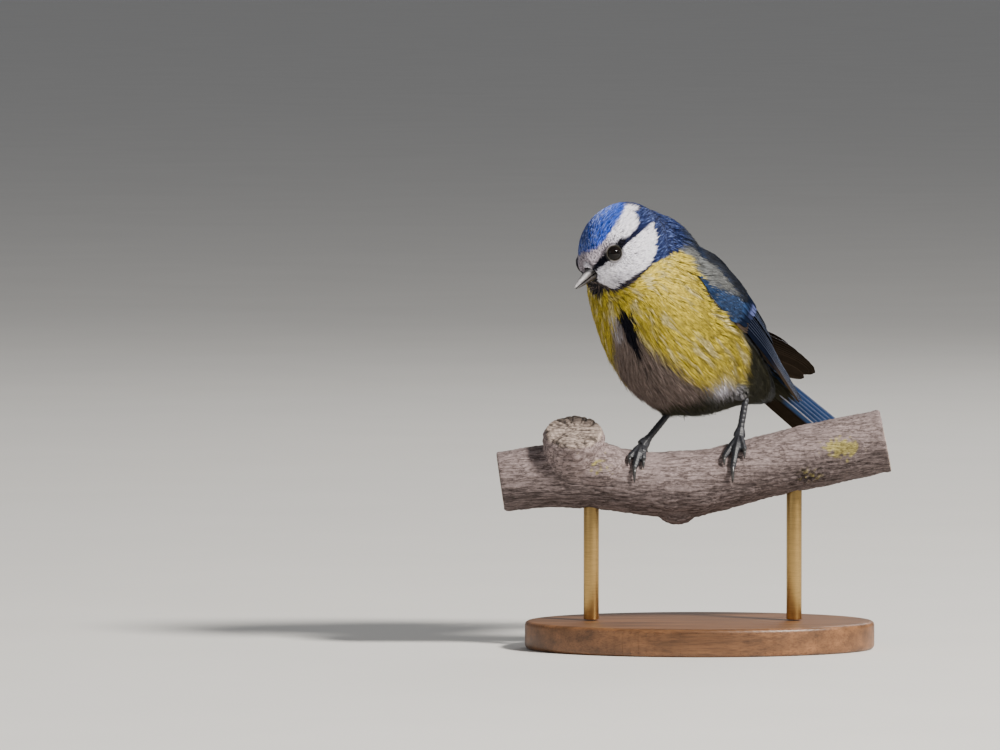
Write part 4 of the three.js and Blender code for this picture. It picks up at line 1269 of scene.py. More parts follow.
def wing_colour(kind, share, settings):
    """Colour at t along a feather and e across it, on its upper or under side; share runs up its group."""
    dark, edge, covert, bar, below = (
        np.array(getattr(settings, key))
        for key in ("flight_dark", "flight_edge", "covert_blue", "wing_bar", "underside")
    )

    def colour(t, e, top):
        full = np.ones(t.shape + (3,))
        if not top:
            hem = smoothstep(np.maximum(np.abs(e), t), 0.88, 0.98) * (kind == "tertial")
            # Painted shade: undersides are the underside colour at about a third of its tone, lighter toward
            # the edges.
            return tint(full * below * (0.3 + 0.12 * np.abs(e))[..., None], full * bar * 0.6, hem)
        outer, rim, inner_rim = smoothstep(-e, 0.0, 0.8), smoothstep(-e, 0.9, 1.0), smoothstep(e, 0.7, 0.92)
        line = edge * 0.7 + bar * 0.3
        if kind == "primary":
            # Painted shade: the tips of the lower primaries turn to the underside's brown-grey at half its
            # tone.
            shaded_brown_tip = smoothstep(t, 0.55, 0.8) * (1 - smoothstep(share, 0.0, 0.5))
            base = tint(full * dark, full * below * 0.5, shaded_brown_tip)
            base = tint(base, full * line, rim * mix(0.3, 1.0, smoothstep(t, 0.4, 0.8)) * (share > 0.05))
            base = tint(base, full * bar * 0.9, inner_rim * (share > 0.8))
        elif kind == "secondary":
            base = tint(full * dark, full * edge, outer * 0.12)
            base = tint(base, full * line * 0.5, rim)
            base = tint(base, full * bar * 0.9, inner_rim * (share > 0.95))
        elif kind == "tertial":
            base = tint(full * dark * 1.1, full * edge, outer * 0.12)
            pale = np.maximum(smoothstep(t, 0.96, 0.99), inner_rim) * smoothstep(t, 0.3, 0.6)
            base = tint(base, full * bar * 0.8, pale * 0.8)
        elif kind == "greater covert":
            middle = smoothstep(share, 0.16, 0.3) * (1 - smoothstep(share, 0.5, 0.62))
            blue = (1 - smoothstep(share, 0.3, 0.5)) * (1 - smoothstep(t, 0.6, 0.78))
            blue = (0.3 + 0.5 * outer + 0.3 * smoothstep(t, 0.3, 0.8)) * blue + 0.06
            base = tint(full * dark, full * covert, blue)
            pale_tip = smoothstep(t + 0.05 * np.abs(e), 0.82, 0.88) * middle
            base = tint(base, full * bar * LAVENDER, pale_tip)
        elif kind == "primary covert":
            base = tint(full * dark, full * below * 1.3, 0.1 + 0.7 * outer)
        else:
            base = tint(full * dark, full * covert * 0.6, outer * 0.6)
            base = tint(base, full * bar * 0.7, rim)
        ridge = np.abs(e) < 0.05
        return np.where(ridge[..., None], base * 0.6, base)

    return colour


def wing_coat(side, settings, plumage):
    """Small coverts over the arm: blue below, grey-green in the middle and dark blue-grey above, partly
    painted shade.
    """
    random = np.random.default_rng(31 if side == "left" else 32)
    order = np.arange(1100)
    along = (0.5 + order * 0.7548777) % 1 * 0.285 + random.normal(0, 0.004, len(order))
    up = (0.5 + order * 0.5698403) % 1 * 1.04 - 0.02 + random.normal(0, 0.01, len(order))
    fray = random.normal(0, 0.02, len(order))
    over_blue = smoothstep(up - along_table(COVERTS_TOP, along) + fray, -0.03, 0.03)
    over_green = smoothstep(up - along_table(GREEN_TOP, along) + fray, -0.03, 0.03)

    def place(a, b, more=0.0):
        clipped = np.clip(b, 0, 1)
        lift = 0.9 + STACK_RISE * clipped + more
        return wing_to_world(over_wing(np.clip(a, 0, 1), clipped, lift, 0.05), side)

    roots = place(along, up)
    rate = np.linalg.norm(place(along + 0.02, up) - roots, axis=1) / 0.02
    lengths = mix(mix(3.2, 4.2, over_blue), 6.0, over_green) * random.normal(1, 0.08, len(order))
    end = along + lengths / rate
    middles, tips = place(along + lengths * 0.5 / rate, up), place(end, up)
    normals, tip_normals = unit(place(along, up, 1.0) - roots), unit(place(end, up, 1.0) - tips)
    keep = np.linalg.norm(tips - middles, axis=1) > 0.8
    covert = np.array(settings.covert_blue)
    blue = tint(covert * 0.6, covert * 1.5, random.random(len(order)))
    green = np.array(plumage.mantle) * random.normal(0.95, 0.08, (len(order), 1))
    # The top of the coat takes the dark slate, which is partly painted shade.
    shaded_slate = np.array(plumage.shaded_slate) * random.normal(1, 0.2, (len(order), 1)).clip(0.5, 1.6)
    tones = tint(tint(blue, green, over_blue), shaded_slate, over_green)
    on_map = np.stack([0.03 + 0.9 * np.clip(along, 0, 0.3) / 0.3, 0.03 + 0.94 * np.clip(up, 0, 1)], 1)
    halves = mix(mix(0.75, 0.85, over_blue), 1.1, over_green)
    values = (roots, normals, middles, tips, tip_normals, halves, mix(1.0, 1.2, over_green), tones, on_map)
    return grow_feathers(*(v[keep] for v in values), 41, 4, 3, (0.12, 0.07), 0.06)


def along_line(root, tip, t):
    """Places from root to tip on the wing's plate, along and up."""
    return root[0] + (tip[0] - root[0]) * t, root[1] + (tip[1] - root[1]) * t


def wing_vanes(side, settings):
    """Every large feather of one wing, in the form that feather_piece joins."""
    feathers = wing_feathers(settings)
    parts = []
    for number, (kind, share, root, tip, lift, half) in enumerate(feathers):
        def path(t, root=root, tip=tip, lift=lift):
            return over_wing(*along_line(root, tip, t), np.full(t.shape, lift))

        def outward(t, root=root, tip=tip):
            return wing_outward(*along_line(root, tip, t))

        flight, primary = kind in ("primary", "secondary", "tertial"), kind == "primary"
        points, triangles, *rest = vane(
            path, outward, half, 26 if flight else 16, settings.vane_thickness / MM,
            wing_colour(kind, share, settings), (number, len(feathers)),
            outer=0.75 if primary else 0.95, inner=1.1 if flight else 1.0,
            point=0.45 if primary else 0.8, droop=0.10 if flight else 0.16,
        )
        points = wing_to_world(points, side)
        parts.append([points, outward_facing(points, triangles), *rest])
    return parts


def wing_arm(side, settings):
    """The rounded arm under the small coverts."""
    columns, rows = 40, 24
    turns, rises = np.linspace(0, 2 * np.pi, columns, endpoint=False), np.linspace(0, np.pi, rows)
    turn, rise = np.meshgrid(turns, rises, indexing="ij")
    ball = np.stack([np.cos(turn) * np.sin(rise), np.sin(turn) * np.sin(rise), np.cos(rise)], -1)
    along = np.clip(0.15 + 0.17 * ball[..., 0], 0, 1)
    up = np.clip(0.5 + 0.5 * ball[..., 1], 0, 1)
    top = 1.1 + STACK_RISE * up
    points = over_wing(along, up, -1 + (top + 1) * (ball[..., 2] + 1) / 2, 0.0)
    points = wing_to_world(points.reshape(-1, 3), side)
    triangles = []
    for i in range(columns):
        for j in range(rows - 1):
            a, b = i * rows + j, (i + 1) % columns * rows + j
            triangles += [(a, a + 1, b + 1), (a, b + 1, b)]
    triangles = outward_facing(points, np.array(triangles))
    # Painted shade: the arm under the coverts is dark blue, at 0.35 of the coverts' tone.
    colours = np.full((len(points), 3), settings.covert_blue[:]) * 0.35
    uv = np.stack([along.ravel(), up.ravel()], 1)
    piece = mesh_piece(f"wing_arm_{side}", points, triangles, colours, uv)
    choose(piece)
    bpy.ops.object.mode_set(mode="EDIT")
    bpy.ops.mesh.select_all(action="SELECT")
    bpy.ops.mesh.remove_doubles(threshold=1e-6)
    bpy.ops.object.mode_set(mode="OBJECT")
    return piece


class BLUETIT_OT_wings(bpy.types.Operator):
    """Both wings: flight feathers, coverts with the white bar, and small coverts over the arm"""

    bl_idname = "bluetit.wings"
    bl_label = "Wings"

    def execute(self, context):
        settings, plumage = context.scene.bluetit_feathers, context.scene.bluetit_plumage
        material = vane_material("flight feather")
        soft = plumage_material("wing plumage", 0.65)
        for side in ("left", "right"):
            vanes = wing_vanes(side, settings)
            feather_piece(f"wing_feathers_{side}", vanes, material, [f"wing_{side}"])
            finish_piece(wing_arm(side, settings), soft)
            coat_pieces(f"coat_wing_{side}", soft, wing_coat(side, settings, plumage))
        return {"FINISHED"}


# Tail


def tail_to_world(points):
    swing = turn_about("z", math.radians(-TAIL["swing"]))
    lift = turn_about("y", math.radians(180 + TAIL["lift"]))
    roll = turn_about("x", math.radians(TAIL["roll"]))
    return torso_to_world(points @ (swing @ lift @ roll).T + np.array(TAIL["root"]))


def tail_colour(side, share, settings):
    """Colours of one tail feather: blue above and on its outer web, brown-grey below at half its tone as
    painted shade.
    """
    blue, dark = np.array(settings.tail_blue), np.array(settings.flight_dark)
    below, bar = np.array(settings.underside), np.array(settings.wing_bar)
    pale_rim = 1.0 if share > 0.9 else 0.25 + 0.35 * (share < 0.1)

    def colour(t, e, top):
        outer, rim = smoothstep(-e * side, 0.1, 0.5), smoothstep(-e * side, 0.8, 0.93)
        full = np.ones(t.shape + (3,))
        if top:
            shade = tint(full * dark * 1.1, full * blue, 0.2 + 0.8 * outer)
        elif side > 0:
            # Painted shade: below, the underside colour at half its tone.
            shade = tint(full * below * 0.5, full * blue * mix(1.3, 0.7, share), outer)
        else:
            shade = full * below * 0.5
        shade = tint(shade, full * bar * 0.8, rim * pale_rim * (top or side > 0))
        return np.where((np.abs(e) < 0.05)[..., None], shade * 0.6, shade)

    return colour


def tail_vanes(settings):
    """Every tail feather, in the form that feather_piece joins."""
    each = settings.tail_feathers
    parts = []
    for i in range(2 * each):
        rank, side = i // 2, (1 if i % 2 else -1)
        share = rank / (each - 1)
        # The left half is folded further under, so that its outer webs show as stripes from below.
        if side > 0:
            out, out_tip = 2.6 - 3.6 * share, 3.6 - 4.8 * share
        else:
            out, out_tip = -0.5 - 2.1 * share, -1.2 - 2.4 * share
        length = TAIL["length"] - TAIL["fork"] * (1 - share)
        height = 0.21 * i * 11 / (2 * each - 1) + 0.8 * share

        def path(t, out=out, out_tip=out_tip, length=length, height=height):
            return np.stack([2 + (length - 2) * t, out + (out_tip - out) * t, np.full(t.shape, height)], -1)

        def outward(t):
            return np.broadcast_to(np.array([0.0, 0, -1.0]), t.shape + (3,))

        points, triangles, *rest = vane(
            path, outward, 2.7, 26, settings.vane_thickness / MM, tail_colour(side, share, settings),
            (i, 2 * each), point=0.35, droop=0.05,
        )
        points = tail_to_world(points)
        parts.append([points, outward_facing(points, triangles), *rest])
    return parts


def tail_coat(settings, plumage):
    """Soft coverts over and under the tail's root."""
    random = np.random.default_rng(77)
    count = 900
    x, turn = random.random(count) * 12 - 2, random.random(count) * 2 * np.pi
    lengths = 8.5 + random.normal(0, 1, count)
    under = np.sin(turn) > 0
    lengths = np.where(under, lengths * 1.15, lengths)

    def shell(x, more=0.0):
        narrow = mix(1.0, 0.72, smoothstep(x, 6, 20))
        across, down = np.cos(turn) * (4.3 * narrow + more), np.sin(turn) * (2.3 * narrow + more)
        return tail_to_world(np.stack([x, across, 1.1 + down], 1))

    roots, middles, tips = shell(x), shell(x + lengths * 0.5), shell(x + lengths)
    normals, tip_normals = unit(shell(x, 1.0) - roots), unit(shell(x + lengths, 1.0) - tips)
    # Under the tail the coverts take the vent colour, which holds painted shade.
    tones = np.where(under[:, None], np.array(plumage.shaded_vent) * 0.9, np.array(settings.tail_blue) * 0.6)
    tones = tones * random.normal(1, 0.1, (count, 1))
    on_map = np.stack([0.05 + x / 14 * 0.85 + 0.12, 0.02 + turn / (2 * np.pi) * 0.95], 1)
    halves, rises = np.full(count, 1.1), np.full(count, 0.35)
    return grow_feathers(
        roots, normals, middles, tips, tip_normals, halves, rises, tones, on_map, 78,
        strands=4, per_strand=3, blade=(0.13, 0.08), bristle=0.1,
    )


class BLUETIT_OT_tail(bpy.types.Operator):
    """Twelve tail feathers, folded one under the other, and the soft coverts at their root"""

    bl_idname = "bluetit.tail"
    bl_label = "Tail"

    def execute(self, context):
        settings = context.scene.bluetit_feathers
        material = vane_material("tail feather")
        feather_piece("tail_feathers", tail_vanes(settings), material, ["tail"])
        arrays = tail_coat(settings, context.scene.bluetit_plumage)
        coat_pieces("coat_tail", plumage_material("tail covert"), arrays)
        return {"FINISHED"}


# Bill and eyes


def bill_material():
    recipe = Recipe("bill horn")
    growth = recipe.noise(2500, detail=2)
    shade = recipe.ramp(recipe.noise(900, detail=5), (0.3, (0.55, 0.55, 0.56)), (0.7, (1.2, 1.18, 1.15)))
    recipe.surface({
        "Base Color": recipe.multiplied(recipe.stored_colour(), shade),
        "Roughness": recipe.remapped(growth, 0.22, 0.42),
    })
    recipe.bump(growth, 0.25, 0.04)
    return recipe.material


def bill_colours(h, half):
    """Dark horn, paler to the tip, with a painted highlight along the upper half and a pale cutting edge."""
    tip = smoothstep(h[:, 0], 14.5, 18.5)
    horn = tint(np.array([0.032, 0.026, 0.026]), np.array([0.08, 0.078, 0.08]), tip)
    if half == "lower":
        return horn
    gape = -1.4 - 1.1 * (h[:, 0] - 9.6) / 9.4
    near_edge = 1 - smoothstep(np.abs(h[:, 2] - gape), 0.05, 0.6)
    culmen = 2.3 * np.sqrt(np.clip((19.0 - h[:, 0]) / 7.5, 0, 1)) - 1.0 - 1.15 * (h[:, 0] - 11.5) / 7.5
    # Painted highlight: a pale band along the middle of the upper mandible's side.
    sheen = np.exp(-(((h[:, 2] - (gape + culmen) / 2) / 0.42) ** 2))
    horn = tint(horn, np.array([0.8, 0.78, 0.8]), sheen * 0.85)
    return tint(horn, np.array([0.4, 0.38, 0.36]), near_edge * (1 - tip) * 0.12)


class BLUETIT_OT_bill(bpy.types.Operator):
    """Both halves of the bill in dark horn, with pale cutting edges"""

    bl_idname = "bluetit.bill"
    bl_label = "Bill"

    def execute(self, context):
        material = bill_material()
        for half in ("upper", "lower"):
            piece = fused_copy([f"bill_{half}"], f"bill_{half}_horn", 0.16, 0.02, 3, 0.4)
            paint(piece.data, bill_colours(in_head(points_of(piece.data)), half))
            finish_piece(piece, material, [f"bill_{half}"])
        return {"FINISHED"}


def eye_material():
    recipe = Recipe("eye")
    tone = recipe.ramp(recipe.noise(800, detail=2), (0.3, 0.002), (0.7, (0.008, 0.005, 0.004)))
    recipe.surface({"Base Color": tone, "Roughness": 0.03, "Specular IOR Level": 0.2})
    return recipe.material


def lid_material():
    recipe = Recipe("eyelid")
    grain = recipe.noise(3500, detail=3)
    shade = recipe.ramp(grain, (0.3, 0.5), (0.75, (1.25, 1.2, 1.15)))
    recipe.surface({
        "Base Color": recipe.multiplied(recipe.stored_colour(), shade),
        "Roughness": 0.6, "Specular IOR Level": 0.2,
    })
    recipe.bump(grain, 0.6, 0.06)
    return recipe.material


class BLUETIT_OT_eyes(bpy.types.Operator):
    """Wet dark eyes with their lids"""

    bl_idname = "bluetit.eyes"
    bl_label = "Eyes"

    def execute(self, context):
        eye, lid = eye_material(), lid_material()
        for side, sign in (("left", 1), ("right", -1)):
            centre = head_to_world(EYE_HEAD * np.array([1, sign, 1]))
            deselect()
            bpy.ops.mesh.primitive_uv_sphere_add(
                segments=64, ring_count=40, radius=EYE_RADIUS * MM, location=Vector(centre * MM),
            )
            ball = bpy.context.object
            ball.name = ball.data.name = f"eye_{side}_ball"
            bpy.ops.object.transform_apply(location=True, rotation=True, scale=True)
            bpy.ops.object.shade_smooth()
            finish_piece(ball, eye, [f"eye_{side}"])
            outward = unit(np.array([0.36, sign, 0.06])) @ HEAD_AXES.T
            turn = Vector(outward).to_track_quat("Z", "Y").to_euler()
            deselect()
            bpy.ops.mesh.primitive_torus_add(
                location=Vector((centre + outward * 0.98) * MM), rotation=turn,
                major_segments=64, minor_segments=14, major_radius=2.26 * MM, minor_radius=0.46 * MM,
            )
            ring = bpy.context.object
            ring.name = ring.data.name = f"lid_{side}"
            bpy.ops.object.transform_apply(location=True, rotation=True, scale=True)
            points = points_of(ring.data)
            ripple = noise_at(points, 0.35, 9)
            move_points(ring.data, points + normals_of(ring.data) * (ripple * 0.06)[:, None])
            away = points - centre
            from_axis = np.linalg.norm(away - outward * (away @ outward)[:, None], axis=1)
            around = markings(points, ripple, context.scene.bluetit_plumage) * 0.28
            paint(ring.data, tint(np.array([0.03, 0.026, 0.016]), around, smoothstep(from_axis, 2.1, 2.4)))
            bpy.ops.object.shade_smooth()
            finish_piece(ring, lid)
        return {"FINISHED"}


# Legs, toes and claws

# Length of one scale on the shank and on the toes, and the claws' height over the bark by place along them
SHANK_SCALE, TOE_SCALE = 1.25, 0.72
CLAW_LIFT = [(-0.14, 0.72), (0.35, 1.25), (0.75, 0.9), (1.02, 0.4)]


def over_bark(x, angle, lift):
    sizes = sizes_along(BRANCH, np.asarray(x, float))
    reach, turn = sizes[..., 1] + lift, np.radians(angle)
    along, height = np.broadcast_to(x, reach.shape), sizes[..., 0] + reach * np.cos(turn)
    return np.stack([along, -reach * np.sin(turn), height], -1)


def scale_material():
    """Leg skin with small scales."""
    recipe = Recipe("leg scales")
    scales = recipe.nodes.new("ShaderNodeTexVoronoi")
    scales.inputs["Scale"].default_value = 1.0
    recipe.links.new(recipe.place(1500), scales.inputs["Vector"])
    shade = recipe.ramp(scales.outputs["Distance"], (0.1, 1.25), (0.6, 0.55))
    recipe.surface({"Base Color": recipe.multiplied(recipe.stored_colour(), shade, 0.8), "Roughness": 0.48})
    recipe.bump(scales.outputs["Distance"], -0.5, 0.08)
    return recipe.material


def claw_material():
    recipe = Recipe("claw horn")
    grain = recipe.noise(1500, detail=3)
    tone = recipe.ramp(grain, (0.3, (0.012, 0.012, 0.014)), (0.75, (0.06, 0.058, 0.056)))
    recipe.surface({"Base Color": tone, "Roughness": 0.3})
    return recipe.material


def scaled_foot(side, leg, colour):
    """Shank and toes as one skin, with a groove between each two scales."""
    toes = [f"toe_{side}_{toe}" for toe in leg["toes"]]
    foot = fused_copy([f"shank_{side}", *toes], f"foot_{side}", 0.2, 0.2, 2, 0.4)
    largest_shell(foot)
    points, normals = points_of(foot.data), normals_of(foot.data)
    heel, base = np.array(leg["heel"]), over_bark(*leg["foot"])
    run, length = (points - heel) @ unit(base - heel), np.linalg.norm(base - heel)
    on_shank = 1 - smoothstep(run, length * 0.78, length * 0.95)
    shank_scale = np.abs(np.sin(np.pi * run / SHANK_SCALE)) ** 0.45
    toe_scale = np.abs(np.sin(np.pi * np.linalg.norm(points - base, axis=1) / TOE_SCALE)) ** 0.5
    lift = on_shank * (shank_scale - 0.5) * 0.16 + (1 - on_shank) * (toe_scale - 0.5) * 0.11 - 0.12
    move_points(foot.data, points + normals * lift[:, None])
    groove = on_shank * (1 - shank_scale) + (1 - on_shank) * (1 - toe_scale)
    mottled = colour * (1 + 0.25 * noise_at(points, 1.5, 2))[:, None]
    paint(foot.data, tint(mottled, colour * 0.3, groove * 0.8))
    return foot


def claws(side, leg):
    """The four curved claws of one foot, each a narrowing tube over the bark."""
    share = np.linspace(0, 1, 14)
    parts = []
    for x, angle, claw_angle in leg["toes"].values():
        knots = [over_bark(x, angle + (claw_angle - angle) * s, lift) for s, lift in CLAW_LIFT]
        radii = 0.62 * (1 - share) ** 0.7 + 0.05
        points, triangles = tube(along_curve(knots, share), radii, 14, up=(1, 0, 0))
        parts.append((points, outward_facing(points - points.mean(0), triangles)))
    return mesh_piece(f"claws_{side}", *join_arrays(parts))


class BLUETIT_OT_legs(bpy.types.Operator):
    """Each foot as one scaled skin, with eight claws"""

    bl_idname = "bluetit.legs"
    bl_label = "Legs"

    def execute(self, context):
        colour = np.array(context.scene.bluetit_perch.leg)
        skin, horn = scale_material(), claw_material()
        for side, leg in LEGS.items():
            toes = [f"toe_{side}_{toe}" for toe in leg["toes"]]
            finish_piece(scaled_foot(side, leg, colour), skin, [f"shank_{side}", *toes])
            finish_piece(claws(side, leg), horn, [f"claw_{side}_{toe}" for toe in leg["toes"]])
        return {"FINISHED"}


# Branch and stand

# Centre and reach of the scabbed knot and of the two patches of lichen
KNOT = ((31.4, -8.2, 50), (4.2, 3.4, 3.0))
LICHEN_PATCHES = (((-30, -7.5, 53), (5, 4, 3)), ((40, -8.5, 58), (6, 4, 3)))


def patch(points, centre, reach):
    """One at the patch's centre, falling softly to nothing past its reach."""
    return np.exp(-(((points - np.array(centre)) / np.array(reach)) ** 2).sum(1))


def bark_material():
    recipe = Recipe("bark")
    coarse = recipe.noise((350, 900, 900), detail=6, roughness=0.65)
    fine_grain = recipe.noise((1100, 3000, 3000), detail=5, roughness=0.7)
    split = recipe.noise((110, 1000, 1000), detail=4)
    shade = recipe.ramp(coarse, (0.28, (0.6, 0.58, 0.56)), (0.5, 1.0), (0.75, (1.3, 1.3, 1.32)))
    speck = recipe.ramp(fine_grain, (0.35, (0.62, 0.6, 0.6)), (0.6, 1.1), (0.78, (1.7, 1.7, 1.72)))
    cracks = recipe.ramp(split, (0.42, 1), (0.485, (0.16, 0.14, 0.13)), (0.55, 1))
    colour = recipe.multiplied(recipe.stored_colour(), shade, 0.85)
    colour = recipe.multiplied(colour, cracks, 0.8)
    recipe.surface({
        "Base Color": recipe.multiplied(colour, speck, 0.8),
        "Roughness": recipe.remapped(fine_grain, 0.78, 0.98),
        "Specular IOR Level": 0.25,
    })
    recipe.bump(fine_grain, 0.7, 0.25)
    return recipe.material


class BLUETIT_OT_branch(bpy.types.Operator):
    """The cut length of branch with its sawn knob, furrowed bark and lichen"""

    bl_idname = "bluetit.branch"
    bl_label = "Branch"

    def execute(self, context):
        settings = context.scene.bluetit_perch
        branch = fused_copy(["perch_branch"], "branch_bark", settings.bark_detail / MM, 0.0, 6)
        points, normals = points_of(branch.data), normals_of(branch.data)
        sizes = sizes_along(BRANCH, points[:, 0])
        height = points[:, 2] - sizes[:, 0]
        turn = np.arctan2(-points[:, 1], height)

        # Sawn faces of the knob and of the two ends
        lean = math.radians(KNOB["lean"])
        knob_root = np.array([KNOB["x"], 0, float(sizes_along(BRANCH, np.array([KNOB["x"]]))[0, 0])])
        knob_up = np.array([0, -math.sin(lean), math.cos(lean)])
        from_root = points - knob_root
        on_knob = from_root @ knob_up
        from_axis = np.linalg.norm(from_root - on_knob[:, None] * knob_up, axis=1)
        knob_face = smoothstep(on_knob, KNOB["length"] - 1.6, KNOB["length"] - 0.3) * (from_axis < 9.5)
        end_face = (np.abs(normals[:, 0]) > 0.8) * ((points[:, 0] < -56) | (points[:, 0] > 52))
        bark = 1 - np.maximum(knob_face, end_face)

        # Relief: furrows, pits, the cracked knob and the knot
        level = np.zeros(len(points))
        furrow = noise_at(np.stack([points[:, 0] / 9, turn * 9 / 1.1, level], 1), 1.0, 4)
        fine = noise_at(np.stack([points[:, 0] / 3.5, turn * 9 / 0.45, level], 1), 1.0, 5)
        lump, pit = noise_at(points, 5.0, 6), noise_at(points, 0.9, 7)
        lower = smoothstep(-height, -2, 4)
        furrow_depth = 0.7 * np.clip(0.25 - np.abs(furrow), 0, None) * (0.4 + 1.0 * lower)
        fine_depth = 0.22 * np.clip(0.2 - np.abs(fine), 0, None)
        lift = bark * (0.25 * lump + 0.2 * pit - furrow_depth - fine_depth)
        spin = np.arctan2(from_root[:, 0], from_root @ np.cross(knob_up, [1, 0, 0]))
        rays = noise_at(np.stack([np.cos(spin) * 3, np.sin(spin) * 3, from_axis * 0.12], 1), 1.0, 8)
        crack = np.clip(0.14 - np.abs(rays), 0, None)
        lift -= knob_face * (crack * 2.5 + 0.5 * np.clip(noise_at(points, 1.6, 9), 0, None))
        near_knob = bark * smoothstep(on_knob, 3, 11) * (1 - smoothstep(from_axis, 10, 13))
        lift += near_knob * 0.45 * noise_at(points, 1.7, 10)
        knot = patch(points, *KNOT)
        lift += knot * (0.5 + 1.1 * pit)
        move_points(branch.data, points + normals * lift[:, None])

        # Colours: bark, lichen and cut wood, with painted shade on the branch's lower half and painted light
        # on its upper half
        top = smoothstep(height, -5, 6)
        bark_colour, bark_dark = np.array(settings.bark), np.array(settings.bark_dark)
        furrow_and_shade = np.clip((0.22 - np.abs(furrow)) * 3.2, 0, 1) * (0.25 + 0.6 * lower)
        # Painted shade: the bark's lower half is darker and its furrows darker still; pale pits show only on
        # the upper half as painted light.
        colours = tint(bark_colour * 0.55, bark_colour, top)
        colours = tint(colours, bark_dark, furrow_and_shade)
        colours = tint(colours, bark_dark * 0.8, np.clip((0.12 - np.abs(fine)) * 4, 0, 1) * 0.6)
        colours = tint(colours, bark_colour * 1.35, np.clip(pit * 1.5 - 0.2, 0, 1) * top * 0.8)
        colours = tint(colours, bark_dark * 0.7, np.clip(knot * (0.5 + 1.5 * pit), 0, 1))
        patches = np.maximum(*(patch(points, *place) for place in LICHEN_PATCHES))
        lichen = np.clip((patches * 1.5 + noise_at(points, 1.2, 12) * 0.9 - 0.7) * 3, 0, 1) * bark
        crumbs = np.clip(noise_at(points, 1.0, 16) * 2, 0, 1) * 0.8
        lichen = np.maximum(lichen, np.clip((knot - 0.35) * 2, 0, 1) * crumbs)
        colours = tint(colours, np.array(settings.lichen), lichen)
        cut = np.array(settings.cut_wood)
        rings = 0.82 + 0.18 * np.sin(from_axis * 5 + noise_at(points, 2, 13) * 2)
        flakes = 1 + 0.35 * noise_at(points, 0.8, 15) - 0.75 * np.clip(crack * 9, 0, 1)
        colours = tint(colours, cut * (rings * flakes)[:, None], knob_face)
        end_rings = 0.85 + 0.15 * np.sin(np.hypot(points[:, 1], height) * 6 + noise_at(points, 2, 14))
        colours = tint(colours, cut * end_rings[:, None], end_face)
        paint(branch.data, colours)
        finish_piece(branch, bark_material(), ["perch_branch"])
        return {"FINISHED"}


def wood_material(tone):
    recipe = Recipe("oiled wood")
    grain = recipe.noise((28, 260, 260), detail=6, roughness=0.6)
    pores = recipe.noise((180, 2600, 2600), detail=3)
    shade = recipe.ramp(grain, (0.3, tone * 0.5), (0.5, tone), (0.7, tone * 1.5))
    dark = recipe.ramp(pores, (0.35, (0.55, 0.5, 0.48)), (0.55, 1))
    recipe.surface({
        "Base Color": recipe.multiplied(shade, dark, 0.7),
        "Roughness": recipe.remapped(pores, 0.32, 0.5),
    })
    recipe.bump(pores, 0.15, 0.05)
    return recipe.material


def brass_material(metal):
    recipe = Recipe("brushed brass")
    lines = recipe.noise((300, 300, 9000), detail=4)
    recipe.surface({
        "Base Color": recipe.ramp(lines, (0.3, metal * 0.8), (0.7, metal * 1.15)),
        "Roughness": recipe.remapped(lines, 0.22, 0.4),
        "Metallic": 1.0,
    })
    recipe.bump(lines, 0.1, 0.02)
    return recipe.material


def choose_rims(piece):
    """Marks the edges that lie level."""
    for edge in piece.data.edges:
        a, b = (piece.data.vertices[k].co.z for k in edge.vertices)
        edge.select = abs(a - b) < 1e-6


class BLUETIT_OT_stand(bpy.types.Operator):
    """Oval wooden base and two brass rods"""

    bl_idname = "bluetit.stand"
    bl_label = "Stand"

    def execute(self, context):
        settings = context.scene.bluetit_perch
        low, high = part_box("stand_base")
        deselect()
        bpy.ops.mesh.primitive_cylinder_add(
            vertices=128, radius=1, depth=high.z - low.z, location=(0, 0, (low.z + high.z) / 2),
        )
        base = bpy.context.object
        base.name = base.data.name = "stand_base_wood"
        bpy.ops.object.mode_set(mode="EDIT")
        bpy.ops.mesh.select_all(action="SELECT")
        bpy.ops.transform.resize(value=((high.x - low.x) / 2, (high.y - low.y) / 2, 1))
        bpy.ops.mesh.select_all(action="DESELECT")
        bpy.ops.object.mode_set(mode="OBJECT")
        choose_rims(base)
        bpy.ops.object.mode_set(mode="EDIT")
        bpy.ops.mesh.bevel(offset=1.3 * MM, segments=5, profile=0.5)
        bpy.ops.object.mode_set(mode="OBJECT")
        bpy.ops.object.transform_apply(location=True, rotation=True, scale=True)
        bpy.ops.object.shade_smooth_by_angle(angle=math.radians(40))
        finish_piece(base, wood_material(np.array(settings.stand_wood)), ["stand_base"])

        brass = brass_material(np.array(settings.brass))
        for number in (1, 2):
            low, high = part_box(f"stand_rod_{number}")
            deselect()
            bpy.ops.mesh.primitive_cylinder_add(
                vertices=48, radius=(high.x - low.x) / 2, depth=high.z - low.z,
                location=((low.x + high.x) / 2, (low.y + high.y) / 2, (low.z + high.z) / 2),
            )
            rod = bpy.context.object
            rod.name = rod.data.name = f"rod_{number}_brass"
            bpy.ops.object.transform_apply(location=True, rotation=True, scale=True)
            choose_rims(rod)
            bpy.ops.object.mode_set(mode="EDIT")
            bpy.ops.mesh.select_mode(type="EDGE")
            bpy.ops.mesh.bevel(offset=0.3 * MM, segments=3)
            bpy.ops.object.mode_set(mode="OBJECT")
            bpy.ops.object.shade_smooth_by_angle(angle=math.radians(40))
            finish_piece(rod, brass, [f"stand_rod_{number}"])
        return {"FINISHED"}


# Stage

FLOOR_RADIUS = 12
CAMERA_AIM, CAMERA_DISTANCE, CAMERA_ELEVATION = (-0.0571, 0, 0.0783), 3.0, 3
SENSOR, LENS = 36, 378


